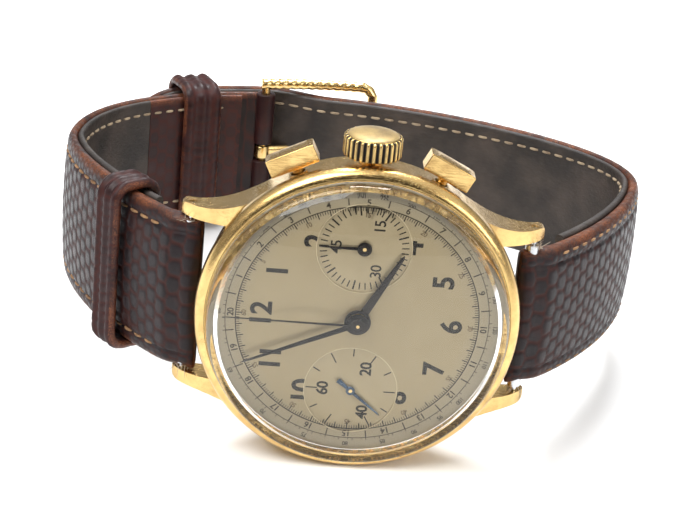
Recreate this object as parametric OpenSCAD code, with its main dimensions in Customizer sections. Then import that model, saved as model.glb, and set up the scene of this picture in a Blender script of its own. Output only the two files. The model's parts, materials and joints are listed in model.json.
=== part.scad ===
// Two-register wrist chronograph on a leather strap, buckled into a loop and lying on its side.
// Everything is drawn in the dial frame: x runs from 12 to 6 o'clock, y from 9 to 3 o'clock,
// z stands up from the dial towards the wearer's eye, and z = 0 is the dial's face.
// place() then lays the watch down on the 9 o'clock side of its case and buckle.

/* [Case] */
// Diameter of the bezel
bezel_d = 35; // [34.8:0.1:35.2]
// Diameter of the case band behind the bezel
band_d = 33.6; // [33.4:0.1:33.8]
// Width between the lugs
lug_gap = 18.2; // [18:0.1:18.4]
// Distance from the dial's centre to a spring bar
bar_x = 18.4; // [18.3:0.05:18.5]
// Depth of the spring bars behind the dial
bar_depth = 4.3; // [4.2:0.05:4.4]
// Height of the crystal's dome above the dial
dome_h = 4.4; // [4.2:0.1:4.6]
// Depth of the case back's flat behind the dial
back_depth = 7.4; // [7.3:0.1:7.6]

/* [Dial and hands] */
// Distance of each register from the dial's centre
register_y = 8.3; // [8.3:0.1:8.4]
// Diameter of a register
register_d = 10.1; // [9.8:0.1:10.2]
// Length of the hour hand
hour_len = 9.1; // [8.5:0.1:9.3]
// Length of the minute hand
minute_len = 13.3; // [12.5:0.1:13.5]
// Length of the sweep seconds hand
sweep_len = 14.4; // [13.8:0.1:14.5]
// Minutes after midday that the hour and minute hands show
time_min = 236; // [0:1:719]
// Second that the small seconds hand shows
small_sec = 36.5; // [0:0.5:59.5]

/* [Crown and pushers] */
// Diameter of the crown
crown_d = 6.3; // [6:0.1:6.5]
// Number of grips around the crown
crown_grips = 28; // [24:2:30]
// Depth of the winding stem behind the dial
stem_depth = 2.9; // [2.9:0.05:3]
// Angle between the crown and each pusher
pusher_angle = 26.4; // [26:0.1:27]
// Travel of a pusher
pusher_travel = 0.6; // [0.4:0.1:0.6]

/* [Strap] */
// Half width of the strap's loop, to the middle of the leather
loop_a = 33.4; // [33:0.1:33.8]
// Depth of the loop's widest place behind the dial
loop_mid = 29.4; // [29:0.1:29.8]
// How far the loop goes on behind its widest place
loop_back = 21.4; // [21:0.1:21.8]
// How much deeper the loop hangs on the 12 o'clock side
lean = 4; // [3:0.1:5]
// Width of the strap at the lugs
strap_w = 17.8; // [17.4:0.1:17.9]
// Width of the strap at the buckle
strap_end_w = 16; // [15.6:0.1:16.4]
// Distance of the buckle's pin from the watch's centre line
pin_x = -11; // [-11.4:0.1:-10.6]

/* [Movement] */
// Diameter of the movement
movement_d = 27.8; // [27.7:0.1:27.9]

/* [Hidden] */
$fn = 64;
gold = [0.83, 0.66, 0.33];
steel = [0.72, 0.73, 0.75];
brass = [0.78, 0.62, 0.36];
nickel = [0.75, 0.73, 0.68];
black = [0.08, 0.08, 0.09];
ruby = [0.65, 0.08, 0.18];
leather = [0.26, 0.1, 0.07];
lining = [0.16, 0.12, 0.1];

bezel_r = bezel_d / 2;
band_r = band_d / 2;
band_back = 5.8;          // depth of the case band's back face
bore_r = 14.05;           // bore of the case band
crystal_r = 16.2;
dial_r = 15.5;
lug_in = lug_gap / 2;
plate_r = movement_d / 2;
rim_r = plate_r - 1.3;    // inside of the main plate's rim

// How the watch lies: the band's back edge and the buckle's side touch the ground together
rest_q = 9.9;             // half width of the buckle
edge_h = 5.2;             // depth of the band's lower edge
flank = 1.3;              // power that straightens the loop's flanks
bar_t = asin(pow(bar_x / loop_a, 1 / flank));
loop_front = (loop_mid - bar_depth) / pow(cos(bar_t), flank);
front_t = 175.5;          // where the buckle's front bar stands on the loop
front_lift = 2.05;        // the front bar's height over the loop line
front_r = 0.8;
rest_h = front_r - off(front_t, front_lift)[1];
tilt = atan((band_r - rest_q) / (rest_h - edge_h));
ground = edge_h * sin(tilt) + band_r * cos(tilt);
centre_x = 0;
centre_y = -24.6;

module place() translate([centre_x, centre_y, ground]) rotate([90 - tilt, 0, 0]) children();

// ---- small helpers --------------------------------------------------------------------------
function polar(r, a) = [r * cos(a), r * sin(a)];
function unit(v) = v / norm(v);
function mix(a, b, t) = a + (b - a) * t;
function ease(t) = t <= 0 ? 0 : t >= 1 ? 1 : 0.5 - 0.5 * cos(180 * t);
// Point at t on the curve that leaves a towards b and ends at c
function bend(a, b, c, t) = (1 - t) * (1 - t) * a + 2 * t * (1 - t) * b + t * t * c;
function bend_line(a, b, c, n) = [for (i = [0:n]) bend(a, b, c, i / n)];

// Flat stock between two depths behind the dial
module layer(from, to) translate([0, 0, -to]) linear_extrude(to - from) children();
module disc(at, r, from, to) translate(at) layer(from, to) circle(r);
module ring(at, r, hole, from, to) translate(at) layer(from, to) difference() {
    circle(r);
    circle(hole);
}

// A toothed disc outline with one tooth on the angle phase. A tooth tapers to its tip.
function gear_points(z, r, up, down, phase) = [for (i = [0:z - 1])
    let (a = phase + i * 360 / z, w = 360 / z)
    each [polar(r - down, a - 0.27 * w), polar(r + up, a - 0.07 * w),
        polar(r + up, a + 0.07 * w), polar(r - down, a + 0.27 * w)]];
module gear(z, r, phase = 0) polygon(gear_points(z, r, 0.08, 0.12, phase));

// A spoked wheel: teeth outside, arms inside, and a hub
module spoked(z, r, phase, hub, arms) {
    rim = r - 0.12 - 0.35;
    difference() {
        gear(z, r, phase);
        circle(rim);
    }
    for (i = [0:arms - 1]) rotate(i * 360 / arms) translate([0, -0.18]) square([rim + 0.1, 0.36]);
    circle(hub);
}

// ---- where the movement's arbors stand (dial frame) -------------------------------------------
module_train = 1 / 6;
centre_teeth = 48;
third_pinion = 6;
third_teeth = 45;
fourth_pinion = 6;
fourth_teeth = 60;
escape_pinion = 6;
centre_pr = centre_teeth * module_train / 2;
third_ppr = third_pinion * module_train / 2;
third_pr = third_teeth * module_train / 2;
fourth_ppr = fourth_pinion * module_train / 2;
fourth_pr = 3.5;
escape_ppr = fourth_pr * escape_pinion / fourth_teeth;
centre_third = centre_pr + third_ppr;
third_fourth = third_pr + fourth_ppr;
fourth_at = [0, -register_y];
counter_at = [0, register_y];
third_along = (centre_third * centre_third - third_fourth * third_fourth
    + register_y * register_y) / (2 * register_y);
third_at = [sqrt(centre_third * centre_third - third_along * third_along), -third_along];
escape_at = fourth_at + polar(fourth_pr + escape_ppr, 25);
balance_at = [8.3, -3];
pallet_at = escape_at + 2.55 * unit(balance_at - escape_at);
barrel_r = 6.3;           // distance of the mainspring barrel from the centre
barrel_pr = barrel_r * 6 / 7;
centre_ppr = barrel_r / 7;
barrel_at = polar(barrel_r, 140);
ratchet_pr = 4.2;
crown_wheel_pr = 2.7;
crown_hub_r = 1.62;
crown_wheel_at = barrel_at + polar(ratchet_pr + crown_wheel_pr, 70);
cannon_pr = 0.9;
minute_pr = 2.7;
minute_ppr = 0.72;
hour_pr = 2.88;
minute_at = polar(cannon_pr + minute_pr, 60);
driver_pr = 1.6;
coupling_pr = driver_pr * 20 / 24;
runner_pr = 4;
coupling_rest = 5.56;     // the coupling wheel's distance from the centre while the hand stands
driver_coupling = driver_pr + coupling_pr;
coupling_along = (driver_coupling * driver_coupling - coupling_rest * coupling_rest
    + register_y * register_y) / (2 * register_y);
coupling_at = [sqrt(driver_coupling * driver_coupling - coupling_along * coupling_along),
    -register_y + coupling_along];
column_at = [-10.2, -3.2];
foot_angles = [20, 200];  // the dial's feet
clamp_angles = [20, 232]; // the clamps that hold the movement in its case
screw_angles = [75, 125, 190, 220, 255, 290, 333, 351];
screw_r = 13.1;           // radius of the circle of bridge screws
lever_at = polar(12.7, 152);
hammer_at = [7.8, 3.6];
intermediate_at = [0, 5.03];

function heading(a, b) = atan2(b[1] - a[1], b[0] - a[0]);

// Depths of the layers behind the dial's face
dial_t = 0.4;
plate_back = 2.2;
bridge_front = 4.4;
bridge_back = 5.1;

// ---- case -------------------------------------------------------------------------------------
// Side view of a lug (x, z): it sweeps back and down from under the bezel to a hooked tip
lug_side = concat(bend_line([9.5, -0.8], [17.4, -0.75], [19.6, -4.7], 10),
    bend_line([19.6, -4.7], [19.65, -5.7], [18.9, -5.75], 4),
    bend_line([18.6, -5.55], [16.2, -4.9], [12, -5.6], 6), [[9.5, -5.6]]);
// Plan view of a lug (x, y): a hollow sweep outside, straight towards the strap
lug_plan = concat([[9, lug_in]], bend_line([9.6, 13.75], [14, 10.5], [18.9, 10.55], 8),
    bend_line([18.9, 10.55], [19.6, 10.5], [19.6, 10], 3), [[19.6, lug_in]]);

module lug() difference() {
    intersection() {
        translate([0, lug_in, 0]) rotate([90, 0, 0]) mirror([0, 0, 1]) linear_extrude(5.5)
            polygon(lug_side);
        translate([0, 0, -7]) linear_extrude(7) polygon(lug_plan);
    }
    translate([bar_x, 8, -bar_depth]) rotate([-90, 0, 0]) cylinder(r = 0.47, h = 4);
}

module radial(angle, depth) rotate(angle) translate([0, 0, -depth]) rotate([0, 90, 0]) children();

module case_band() place() color(gold) difference() {
    union() {
        rotate_extrude() polygon([[13, -band_back], [13, 0.1], [16.3, 0.1], [16.3, -0.7],
            [band_r, -0.7], [band_r, -edge_h], [band_r - 0.15, -edge_h - 0.35],
            [band_r - 0.6, -band_back]]);
        for (i = [0, 1], j = [0, 1]) mirror([i, 0, 0]) mirror([0, j, 0]) lug();
    }
    translate([0, 0, -8]) cylinder(r = bore_r, h = 9);
    translate([0, 0, -0.4]) cylinder(r = dial_r, h = 1);
    translate([0, 0, -1.2]) cylinder(r = 14.6, h = 2);
    translate([0, 0, -6]) cylinder(r = 14.75, h = 0.9);
    radial(90, stem_depth) cylinder(r = 1.2, h = 30);
    for (s = [-1, 1]) radial(90 + s * pusher_angle, stem_depth) cylinder(r = 1, h = 30);
}

module bezel() place() color(gold) rotate_extrude() polygon(concat(
    [[bezel_r - 0.2, -0.68], [16.3, -0.68], [16.3, 0.1], [15.55, 0.1], [15.55, 0.4],
        [crystal_r, 0.4], [crystal_r, 1]],
    [for (a = [0:15:90]) [16.45 + (bezel_r - 16.45) * sin(a), -0.05 + 1.3 * cos(a)]],
    [[bezel_r, -0.5]]));

// The dome is a sphere's cap, and the shoulder turns it down into an upright wall
module crystal() place() color([0.9, 0.95, 1, 0.3]) {
    cap_r = 15.4;
    rise = dome_h - 2.85;
    sphere_r = (cap_r * cap_r + rise * rise) / (2 * rise);
    in_r = 14.9;
    in_rise = dome_h - 0.95 - 2.2;
    in_sphere = (in_r * in_r + in_rise * in_rise) / (2 * in_rise);
    rotate_extrude() polygon(concat(
        [[15.3, 0.4], [crystal_r, 0.4], [crystal_r, 1.9]],
        [for (a = [18:18:90]) [cap_r + 0.8 * cos(a), 1.9 + 0.95 * sin(a)]],
        [for (i = [1:10]) let (x = cap_r * (1 - i / 10))
            [x, dome_h - sphere_r + sqrt(sphere_r * sphere_r - x * x)]],
        [for (i = [0:9]) let (x = in_r * i / 9)
            [x, dome_h - 0.95 - in_sphere + sqrt(in_sphere * in_sphere - x * x)]],
        [[15.3, 1.75]]));
}

module case_back() place() color(gold) rotate_extrude() polygon([[0, -6.5], [13.6, -6.5],
    [14.2, -6.2], [14.2, -5.4], [14.7, -5.4], [14.7, -band_back], [16, -band_back],
    [15.8, -6.3], [14.4, -7], [12.2, -back_depth], [0, -back_depth]]);

module crown_tube() place() color(gold) radial(90, stem_depth) difference() {
    translate([0, 0, 14.7]) cylinder(r = 1.2, h = 3);
    translate([0, 0, 14]) cylinder(r = 0.6, h = 5);
}

module case_clamps() place() color(steel) for (a = clamp_angles) rotate(a) difference() {
    union() {
        layer(bridge_back, 5.32) translate([11.3, -0.9]) square([3.3, 1.8]);
        disc([12.1, 0], 0.62, 5.32, 5.6);
        disc([12.1, 0], 0.3, bridge_front, 5.32);
    }
    layer(5.5, 6) translate([11, -0.07]) square([2, 0.14]);
}

// ---- dial and hands -----------------------------------------------------------------------------
module dial() place() color([0.72, 0.65, 0.52]) {
    difference() {
        disc([0, 0], dial_r, 0, dial_t);
        disc([0, 0], 1.2, -1, 1);
        for (c = [fourth_at, counter_at]) {
            disc(c, register_d / 2, -1, 0.12);
            disc(c, 0.3, -1, 1);
        }
    }
    for (a = foot_angles) disc(polar(13.5, a), 0.4, dial_t, 1.6);
}

// A flat hand: a tapered blade on a bored hub, pointing along the angle
module hand(len, root, tip, tail, hub, hole, angle, from, to) rotate(angle) layer(from, to)
    difference() {
        union() {
            polygon([[-tail, -root * 0.4], [0, -root / 2], [len * 0.8, -root * 0.42], [len, -tip / 2],
                [len, tip / 2], [len * 0.8, root * 0.42], [0, root / 2], [-tail, root * 0.4]]);
            circle(hub);
        }
        circle(hole);
    }

// Angles run clockwise from 12 o'clock, which lies along -x
function clock(deg) = 180 - deg;

module hour_hand() place() color(black)
    hand(hour_len, 0.85, 0.3, 0, 1.42, 1.1, clock(time_min / 2), -0.62, -0.45);
module minute_hand() place() color(black)
    hand(minute_len, 0.6, 0.22, 0, 1.15, 0.72, clock(time_min * 6), -1.12, -0.97);
module sweep_seconds_hand() place() color(black)
    hand(sweep_len, 0.3, 0.12, 0, 0.8, 0.18, clock(0), -1.55, -1.42);
module small_seconds_hand() place() color([0.12, 0.16, 0.3]) translate(fourth_at) {
    hand(4.4, 0.34, 0.12, 0, 0.5, 0.2, clock(small_sec * 6), -0.26, -0.12);
    rotate(clock(small_sec * 6) + 180) layer(-0.26, -0.12) polygon([[0.45, -0.15], [1.1, -0.32],
        [1.9, -0.3], [1.9, 0.3], [1.1, 0.32], [0.45, 0.15]]);
}
module minute_counter_hand() place() color(black) translate(counter_at)
    hand(4.8, 0.34, 0.12, 0, 0.78, 0.2, clock(0), -0.26, -0.12);

// ---- crown and pushers ----------------------------------------------------------------------------
crown_in = 17.8;          // the crown's inner face, from the centre
crown_len = 2.2;
crown_dome = 0.5;
module crown() place() color(gold) radial(90, stem_depth) {
    difference() {
        union() {
            translate([0, 0, crown_in]) linear_extrude(crown_len) polygon(
                [for (i = [0:crown_grips - 1]) let (a = i * 360 / crown_grips, w = 360 / crown_grips)
                    each [polar(crown_d / 2 - 0.32, a - 0.3 * w), polar(crown_d / 2, a - 0.2 * w),
                        polar(crown_d / 2, a + 0.2 * w), polar(crown_d / 2 - 0.32, a + 0.3 * w)]]);
            translate([0, 0, crown_in + crown_len]) rotate_extrude() polygon(concat([[0, -0.2],
                [crown_d / 2 - 0.45, -0.2]], [for (a = [0:15:90])
                [(crown_d / 2 - 0.45) * cos(a), crown_dome * sin(a)]]));
        }
        translate([0, 0, crown_in - 1]) cylinder(r = 1.35, h = 2.2);
        translate([0, 0, crown_in]) cylinder(r = 0.5, h = 2.2);
    }
}
module winding_stem() place() color(steel) radial(90, stem_depth) {
    translate([0, 0, 12.8]) cylinder(r = 0.5, h = crown_in + 2.2 - 12.8);
    translate([0, 0, 9.2]) cylinder(r = 0.35, h = 3.6);
}

module pusher() {
    cap_w = 5.4;
    cap_t = 2.2;
    cap_in = 17.7;        // the cap's inner face, from the centre
    intersection() {
        translate([-cap_t / 2, -cap_w / 2, cap_in]) cube([cap_t, cap_w, 2.1]);
        translate([0, 0, cap_in - 17.65]) rotate([0, 90, 0])
            cylinder(r = 19.75, h = 6, center = true, $fn = 200);
        translate([0, 0, cap_in - 1.8]) rotate([90, 0, 0])
            cylinder(r = 3.92, h = 8, center = true);
    }
    translate([0, 0, 16.5]) cylinder(r = 0.6, h = cap_in - 16.4);
    translate([0, 0, 13.5]) cylinder(r = 0.38, h = 3.1);
}
module start_pusher() place() color(gold) radial(90 + pusher_angle, stem_depth) pusher();
module reset_pusher() place() color(gold) radial(90 - pusher_angle, stem_depth) pusher();

module pusher_tubes() place() color(gold) for (s = [-1, 1])
    radial(90 + s * pusher_angle, stem_depth) difference() {
        translate([0, 0, 14.9]) cylinder(r = 1, h = 2.15);
        translate([0, 0, 15.3]) cylinder(r = 0.8, h = 2);
        translate([0, 0, 14]) cylinder(r = 0.44, h = 5);
    }

// A coil spring as one tube of five sides, carried along its helix
spring_turns = 3;
spring_r = 0.66;
wire_r = 0.07;
spring_steps = 12;
function coil_ring(a, z0, pitch) = [for (k = [0:4]) let (b = k * 72, r = spring_r + wire_r * cos(b))
    [r * cos(a), r * sin(a), z0 + pitch * a / 360 + wire_r * sin(b)]];
module coil(z0, pitch) {
    n = spring_turns * spring_steps;
    points = [for (i = [0:n]) each coil_ring(i * 360 / spring_steps, z0, pitch)];
    sides = [for (i = [0:n - 1], k = [0:4])
        [i * 5 + k, (i + 1) * 5 + k, (i + 1) * 5 + (k + 1) % 5, i * 5 + (k + 1) % 5]];
    polyhedron(points, concat([[0, 1, 2, 3, 4]], sides, [[for (k = [4:-1:0]) n * 5 + k]]));
}
module pusher_springs() place() color(steel) for (s = [-1, 1])
    radial(90 + s * pusher_angle, stem_depth) coil(15.42, 0.22);

// ---- plates and bridges ---------------------------------------------------------------------------
module sector(r, from, to) polygon(concat([[0, 0]], [for (i = [0:12])
    polar(r / cos((to - from) / 24), mix(from, to, i / 12))]));

module mainplate() place() color(nickel) difference() {
    union() {
        disc([0, 0], plate_r, dial_t, plate_back);
        disc([0, 0], 14.55, dial_t, 1.2);
        ring([0, 0], plate_r, rim_r, plate_back - 0.1, bridge_front);
    }
    disc([0, 0], 3.3, 0, 1.15);
    disc(minute_at, 3, 0, 1.15);
    disc([0, 0], 0.52, 0, 3);
    for (c = [fourth_at, third_at, escape_at, balance_at, pallet_at]) disc(c, 0.45, 1.6, 3);
    for (c = [fourth_at, counter_at]) disc(c, 0.26, 0, 3);
    disc(barrel_at, 0.6, 1.6, 3);
    for (a = foot_angles) disc(polar(13.5, a), 0.42, 0, 1.7);
    layer(1.6, 6) translate([-1.4, 8.4]) square([2.8, 7]);
    for (s = [-1, 1]) radial(90 + s * pusher_angle, stem_depth) cylinder(r = 0.7, h = 20);
}

// Holes for the bridge screws and for the clamp that reaches over the train bridge
module bridge_holes() {
    for (a = screw_angles) disc(polar(screw_r, a), 0.35, 4, 6);
    disc(polar(12.1, clamp_angles[1]), 0.3, 4, 6);
}
module plate_cut(from, to) intersection() {
    circle(plate_r - 0.1);
    sector(plate_r, from, to);
}

module barrel_bridge() place() color(nickel) difference() {
    layer(bridge_front, bridge_back) difference() {
        plate_cut(52, 204);
        circle(1.9);
    }
    disc(barrel_at, 0.6, 4, 6);
    disc(crown_wheel_at, crown_hub_r + 0.1, 4, 6);
    disc(counter_at, 0.4, 4, 6);
    disc(intermediate_at, 0.2, 4, 6);
    bridge_holes();
}

module train_bridge() place() color(nickel) difference() {
    layer(bridge_front, bridge_back) union() {
        plate_cut(206, 322);
        circle(1.5);
    }
    disc([0, 0], 0.52, 4, 6);
    disc(fourth_at, 0.26, 4, 6);
    for (c = [third_at, escape_at]) disc(c, 0.45, 4, 6);
    bridge_holes();
}

module balance_cock() place() color(nickel) difference() {
    layer(bridge_front, bridge_back) union() {
        plate_cut(326, 358);
        translate(balance_at) circle(1.5);
    }
    layer(4, 6) difference() {
        circle(12.4);
        translate(balance_at) circle(1.5);
        polygon([balance_at + [0, 1.2], balance_at + [0, -1.2], polar(13, 330), polar(13, 354)]);
    }
    disc(balance_at, 0.45, 4, 6);
    bridge_holes();
}

module pallet_bridge() place() color(nickel) difference() {
    translate(pallet_at) rotate(-62) layer(2.86, 3.02) union() {
        circle(0.6);
        translate([0, -0.45]) square([4.6, 0.9]);
    }
    disc(pallet_at, 0.16, 2, 4);
}

// ---- going train ----------------------------------------------------------------------------------
mesh_cb = heading([0, 0], barrel_at);
mesh_ct = heading([0, 0], third_at);
mesh_tf = heading(third_at, fourth_at);
mesh_fe = heading(fourth_at, escape_at);

module mainspring_barrel() place() color(brass) translate(barrel_at) difference() {
    union() {
        layer(2.75, 3.15) gear(60, barrel_pr, mesh_cb + 180);
        disc([0, 0], barrel_pr - 0.25, 3.1, 4.2);
        disc([0, 0], 1, 2.6, 4.3);
    }
    disc([0, 0], 0.55, 2, 5);
}
// The centre arbor is a tube, so that the chronograph's own arbor can run through it
module centre_wheel() place() color(brass) difference() {
    union() {
        layer(2.35, 2.52) spoked(centre_teeth, centre_pr, mesh_ct, 1.1, 4);
        layer(2.52, 3.3) gear(10, centre_ppr, mesh_cb + 18);
        disc([0, 0], 0.45, -0.2, 4.95);
    }
    disc([0, 0], 0.26, -1, 6);
}
module third_wheel() place() color(brass) translate(third_at) {
    layer(2.27, 2.8) gear(third_pinion, third_ppr, mesh_ct + 180 + 180 / third_pinion);
    layer(3.9, 4.06) spoked(third_teeth, third_pr, mesh_tf, 0.7, 4);
    disc([0, 0], 0.3, 2.8, 3.9);
    disc([0, 0], 0.12, 1.8, 4.8);
}
module fourth_wheel() place() color(brass) translate(fourth_at) {
    layer(3.75, 4.2) gear(fourth_pinion, fourth_ppr, mesh_tf + 180 + 180 / fourth_pinion);
    layer(2.95, 3.1) spoked(fourth_teeth, fourth_pr, mesh_fe, 0.7, 4);
    disc([0, 0], 0.2, -0.26, 5.9);
    layer(5.6, 5.74) gear(24, driver_pr, heading(fourth_at, coupling_at));
}
module escape_wheel() place() color(steel) translate(escape_at) {
    layer(2.9, 3.25) gear(escape_pinion, escape_ppr, mesh_fe + 180 + 180 / escape_pinion);
    disc([0, 0], 0.12, 1.8, 4.8);
    layer(2.55, 2.72) difference() {
        polygon([for (i = [0:14]) each [polar(1.7, i * 24), polar(2.05, i * 24 + 8),
            polar(2.05, i * 24 + 11), polar(1.7, i * 24 + 12)]]);
        difference() {
            circle(1.4);
            circle(0.45);
            for (i = [0:3]) rotate(i * 90) translate([0, -0.12]) square([1.6, 0.24]);
        }
    }
}
module pallet_fork() place() color(steel) translate(pallet_at)
    rotate(heading(pallet_at, balance_at)) {
        layer(2.55, 2.72) {
            circle(0.4);
            translate([0, -0.14]) square([2.7, 0.28]);
            for (s = [-1, 1]) polygon([[0.2, s * 0.25], [-1.05, s * 1.95], [-1.35, s * 1.8],
                [-0.2, s * 0.1]]);
        }
        disc([0, 0], 0.12, 2.25, 3);
    }
module balance_wheel() place() color(brass) translate(balance_at) {
    layer(3.2, 3.6) {
        difference() {
            circle(3.5);
            circle(3.15);
        }
        for (i = [0, 1]) rotate(i * 90) translate([-3.2, -0.2]) square([6.4, 0.4]);
    }
    disc([0, 0], 0.45, 2.85, 3.8);
    disc([0, 0], 0.12, 1.8, 4.8);
    for (i = [0:11]) disc(polar(3.35, i * 30 + 15), 0.2, 3.6, 3.75);
}
function spiral(r, a) = polar(r + a / 360 * 0.28, a);
module hairspring() place() color([0.2, 0.25, 0.5]) translate(balance_at) layer(3.95, 4.15)
    polygon(concat([for (i = [0:96]) spiral(0.62, i * 20)],
        [for (i = [96:-1:0]) spiral(0.55, i * 20)]));

// ---- hands' drive ----------------------------------------------------------------------------------
mesh_cm = heading([0, 0], minute_at);
module cannon_pinion() place() color(steel) difference() {
    union() {
        disc([0, 0], 0.72, -1.15, 1.08);
        layer(0.78, 1.08) gear(10, cannon_pr, mesh_cm + 18);
    }
    disc([0, 0], 0.48, -2, 2);
}
module minute_wheel() place() color(brass) translate(minute_at) difference() {
    union() {
        layer(0.8, 1) gear(30, minute_pr, mesh_cm + 180);
        layer(0.47, 0.8) gear(8, minute_ppr, mesh_cm + 180 + 22.5);
    }
    disc([0, 0], 0.2, 0, 2);
}
module hour_wheel() place() color(brass) difference() {
    union() {
        layer(0.47, 0.68) gear(32, hour_pr, mesh_cm);
        disc([0, 0], 1.1, -0.66, 0.6);
    }
    disc([0, 0], 0.78, -2, 2);
}

// ---- winding ---------------------------------------------------------------------------------------
mesh_bk = heading(barrel_at, crown_wheel_at);
module ratchet_wheel() place() color(steel) translate(barrel_at) {
    layer(5.16, 5.4) gear(28, ratchet_pr, mesh_bk);
    disc([0, 0], 0.52, 1.8, 5.2);
    disc([0, 0], 0.9, 5.4, 5.5);
}
module crown_wheel() place() color(steel) translate(crown_wheel_at) {
    layer(5.16, 5.4) gear(18, crown_wheel_pr, mesh_bk + 180 + 10);
    disc([0, 0], crown_hub_r, 3.92, 5.2);
}
module winding_pinion() place() color(steel) radial(90, stem_depth) difference() {
    union() {
        translate([0, 0, 10.9]) linear_extrude(1) gear(12, 0.8);
        translate([0, 0, 9.7]) cylinder(r = 0.8, h = 1.2);
    }
    translate([0, 0, 9]) cylinder(r = 0.42, h = 4);
}

// ---- chronograph work --------------------------------------------------------------------------------
module heart(r) polygon([for (i = [0:35]) let (a = i * 10, d = a > 180 ? 360 - a : a)
    polar(r * (0.45 + 0.55 * d / 180), a)]);

module chronograph_runner() place() color(brass) {
    layer(5.6, 5.74) spoked(60, runner_pr, 3, 1.2, 5);
    layer(5.74, 5.98) rotate(90) heart(1);
    disc([0, 0], 0.18, -1.62, 6.25);
}
module coupling_lever() place() color(steel) difference() {
    layer(5.16, 5.4) {
        translate(fourth_at) circle(0.8);
        translate(coupling_at) circle(0.7);
        translate(fourth_at) rotate(heading(fourth_at, coupling_at)) translate([0, -0.5])
            square([driver_coupling, 1]);
        translate(fourth_at) rotate(205) translate([0, -0.45]) square([6.2, 0.9]);
    }
    disc(fourth_at, 0.26, 5, 6);
    disc(coupling_at, 0.22, 5, 6);
}
module coupling_wheel() place() color(brass) translate(coupling_at) {
    layer(5.6, 5.74) gear(20, coupling_pr, heading(coupling_at, fourth_at) + 9);
    disc([0, 0], 0.16, 5.2, 5.9);
}
module intermediate_wheel() place() color(brass) translate(intermediate_at) {
    layer(5.6, 5.74) gear(12, 0.76, 90);
    disc([0, 0], 0.14, 4.8, 5.9);
}
module minute_counter_wheel() place() color(brass) translate(counter_at) {
    layer(5.6, 5.74) spoked(36, 2.25, 95, 0.7, 4);
    layer(5.74, 5.98) rotate(-90) heart(0.8);
    disc([0, 0], 0.2, -0.26, 6.25);
}
module column_wheel() place() color(steel) translate(column_at) {
    layer(5.15, 5.4) gear(12, 1.5);
    for (i = [0:5]) intersection() {
        ring([0, 0], 1.2, 0.6, 5.4, 6);
        layer(5.3, 6.1) rotate(i * 60) polygon([[0, 0], [2, 0], [2, 1.1]]);
    }
}
module operating_lever() place() color(steel) layer(5.56, 5.78) difference() {
    union() {
        intersection() {
            difference() {
                circle(13.2);
                circle(12.2);
            }
            sector(14, 112, 189);
        }
        translate(lever_at) circle(0.8);
    }
    translate(lever_at) circle(0.3);
}
// Two flat feet stop just short of the heart cams, and a tail reaches the reset pusher
module reset_hammer() place() color(steel) layer(5.8, 5.98) difference() {
    union() {
        translate(hammer_at) circle(0.9);
        hull() {
            translate(hammer_at) circle(0.5);
            translate([1.9, 0.9]) circle(0.3);
        }
        hull() {
            translate(hammer_at) circle(0.5);
            translate([1.6, 7.6]) circle(0.3);
        }
        hull() {
            translate(hammer_at) circle(0.5);
            translate([6.1, 11.2]) circle(0.3);
        }
    }
    translate(hammer_at) circle(0.25);
}
module chronograph_bridge() place() color(nickel) {
    difference() {
        layer(6.04, 6.3) {
            circle(1.1);
            translate(counter_at) circle(1.1);
            translate([-0.8, 0]) square([1.6, register_y]);
            translate([-5.1, -3.2]) rotate(32) translate([0, -0.5]) square([6, 1]);
            translate([-5.1, -3.2]) circle(0.7);
            translate(counter_at) rotate(17) translate([0, -0.5]) square([4.4, 1]);
            translate([4.3, 9.6]) circle(0.7);
        }
        disc([0, 0], 0.2, 6, 7);
        disc(counter_at, 0.22, 6, 7);
    }
    disc([-5.1, -3.2], 0.45, bridge_back, 6.1);
    disc([4.3, 9.6], 0.45, bridge_back, 6.1);
}

module jewel(at, from) ring(at, 0.45, 0.14, from, from + 0.3);
module jewels() place() color(ruby) {
    for (c = [third_at, escape_at, balance_at]) jewel(c, 1.9);
    for (c = [third_at, escape_at, balance_at]) jewel(c, 4.5);
}
module bridge_screws() place() color(steel) for (a = screw_angles) difference() {
    union() {
        disc(polar(screw_r, a), 0.35, bridge_front, bridge_back);
        disc(polar(screw_r, a), 0.55, bridge_back, 5.4);
    }
    translate(polar(screw_r, a)) rotate(a) layer(5.3, 6) translate([-1, -0.07]) square([2, 0.14]);
}

// ---- strap -------------------------------------------------------------------------------------------
// The loop leaves both spring bars on straightened flanks (a superellipse) and closes behind them
// as half an ellipse that leans. t = 0 faces the dial's side, and 180 is the buckle.
pin_t = 180 + asin(-pin_x / loop_a);
tip_t = 232;
function loop(t) = cos(t) > 0
    ? [loop_a * sign(sin(t)) * pow(abs(sin(t)), flank), loop_front * pow(cos(t), flank) - loop_mid]
    : [loop_a * sin(t), loop_back * cos(t) - loop_mid - lean * sin(t) * cos(t)];
function loop_out(t) = unit(cos(t) > 0
    ? [loop_front * sign(sin(t)) * pow(abs(sin(t)), 2 - flank), loop_a * pow(cos(t), 2 - flank)]
    : [loop_back * sin(t) + lean * cos(2 * t), loop_a * cos(t)]);
function off(t, d) = loop(t) + d * loop_out(t);
// Thickness outside and inside the loop line: padded at the lugs, thin from the quarter on
function outer(t) = mix(2.2, 1, ease((abs(t) - bar_t) / 62));
function inner(t) = mix(1.35, 1, ease((abs(t) - bar_t) / 62));
// How far the tail rises over the buckle end
function lay(t) = 2.62 * ease((t - 184) / 15);

module across(w) rotate([90, 0, 0]) linear_extrude(w, center = true) children();
// Leather and lining bend at the same stops, three degrees apart, so their faces meet
function stops(from, to) = let (low = min(from, to), high = max(from, to))
    concat([low], [for (k = [floor(low / 3) + 1:ceil(high / 3) - 1]) 3 * k], [high]);
function band(from, to, lo, hi) = let (ts = stops(from, to), n = len(ts))
    concat([for (t = ts) off(t, hi(t))], [for (i = [n - 1:-1:0]) off(ts[i], lo(ts[i]))]);

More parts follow.
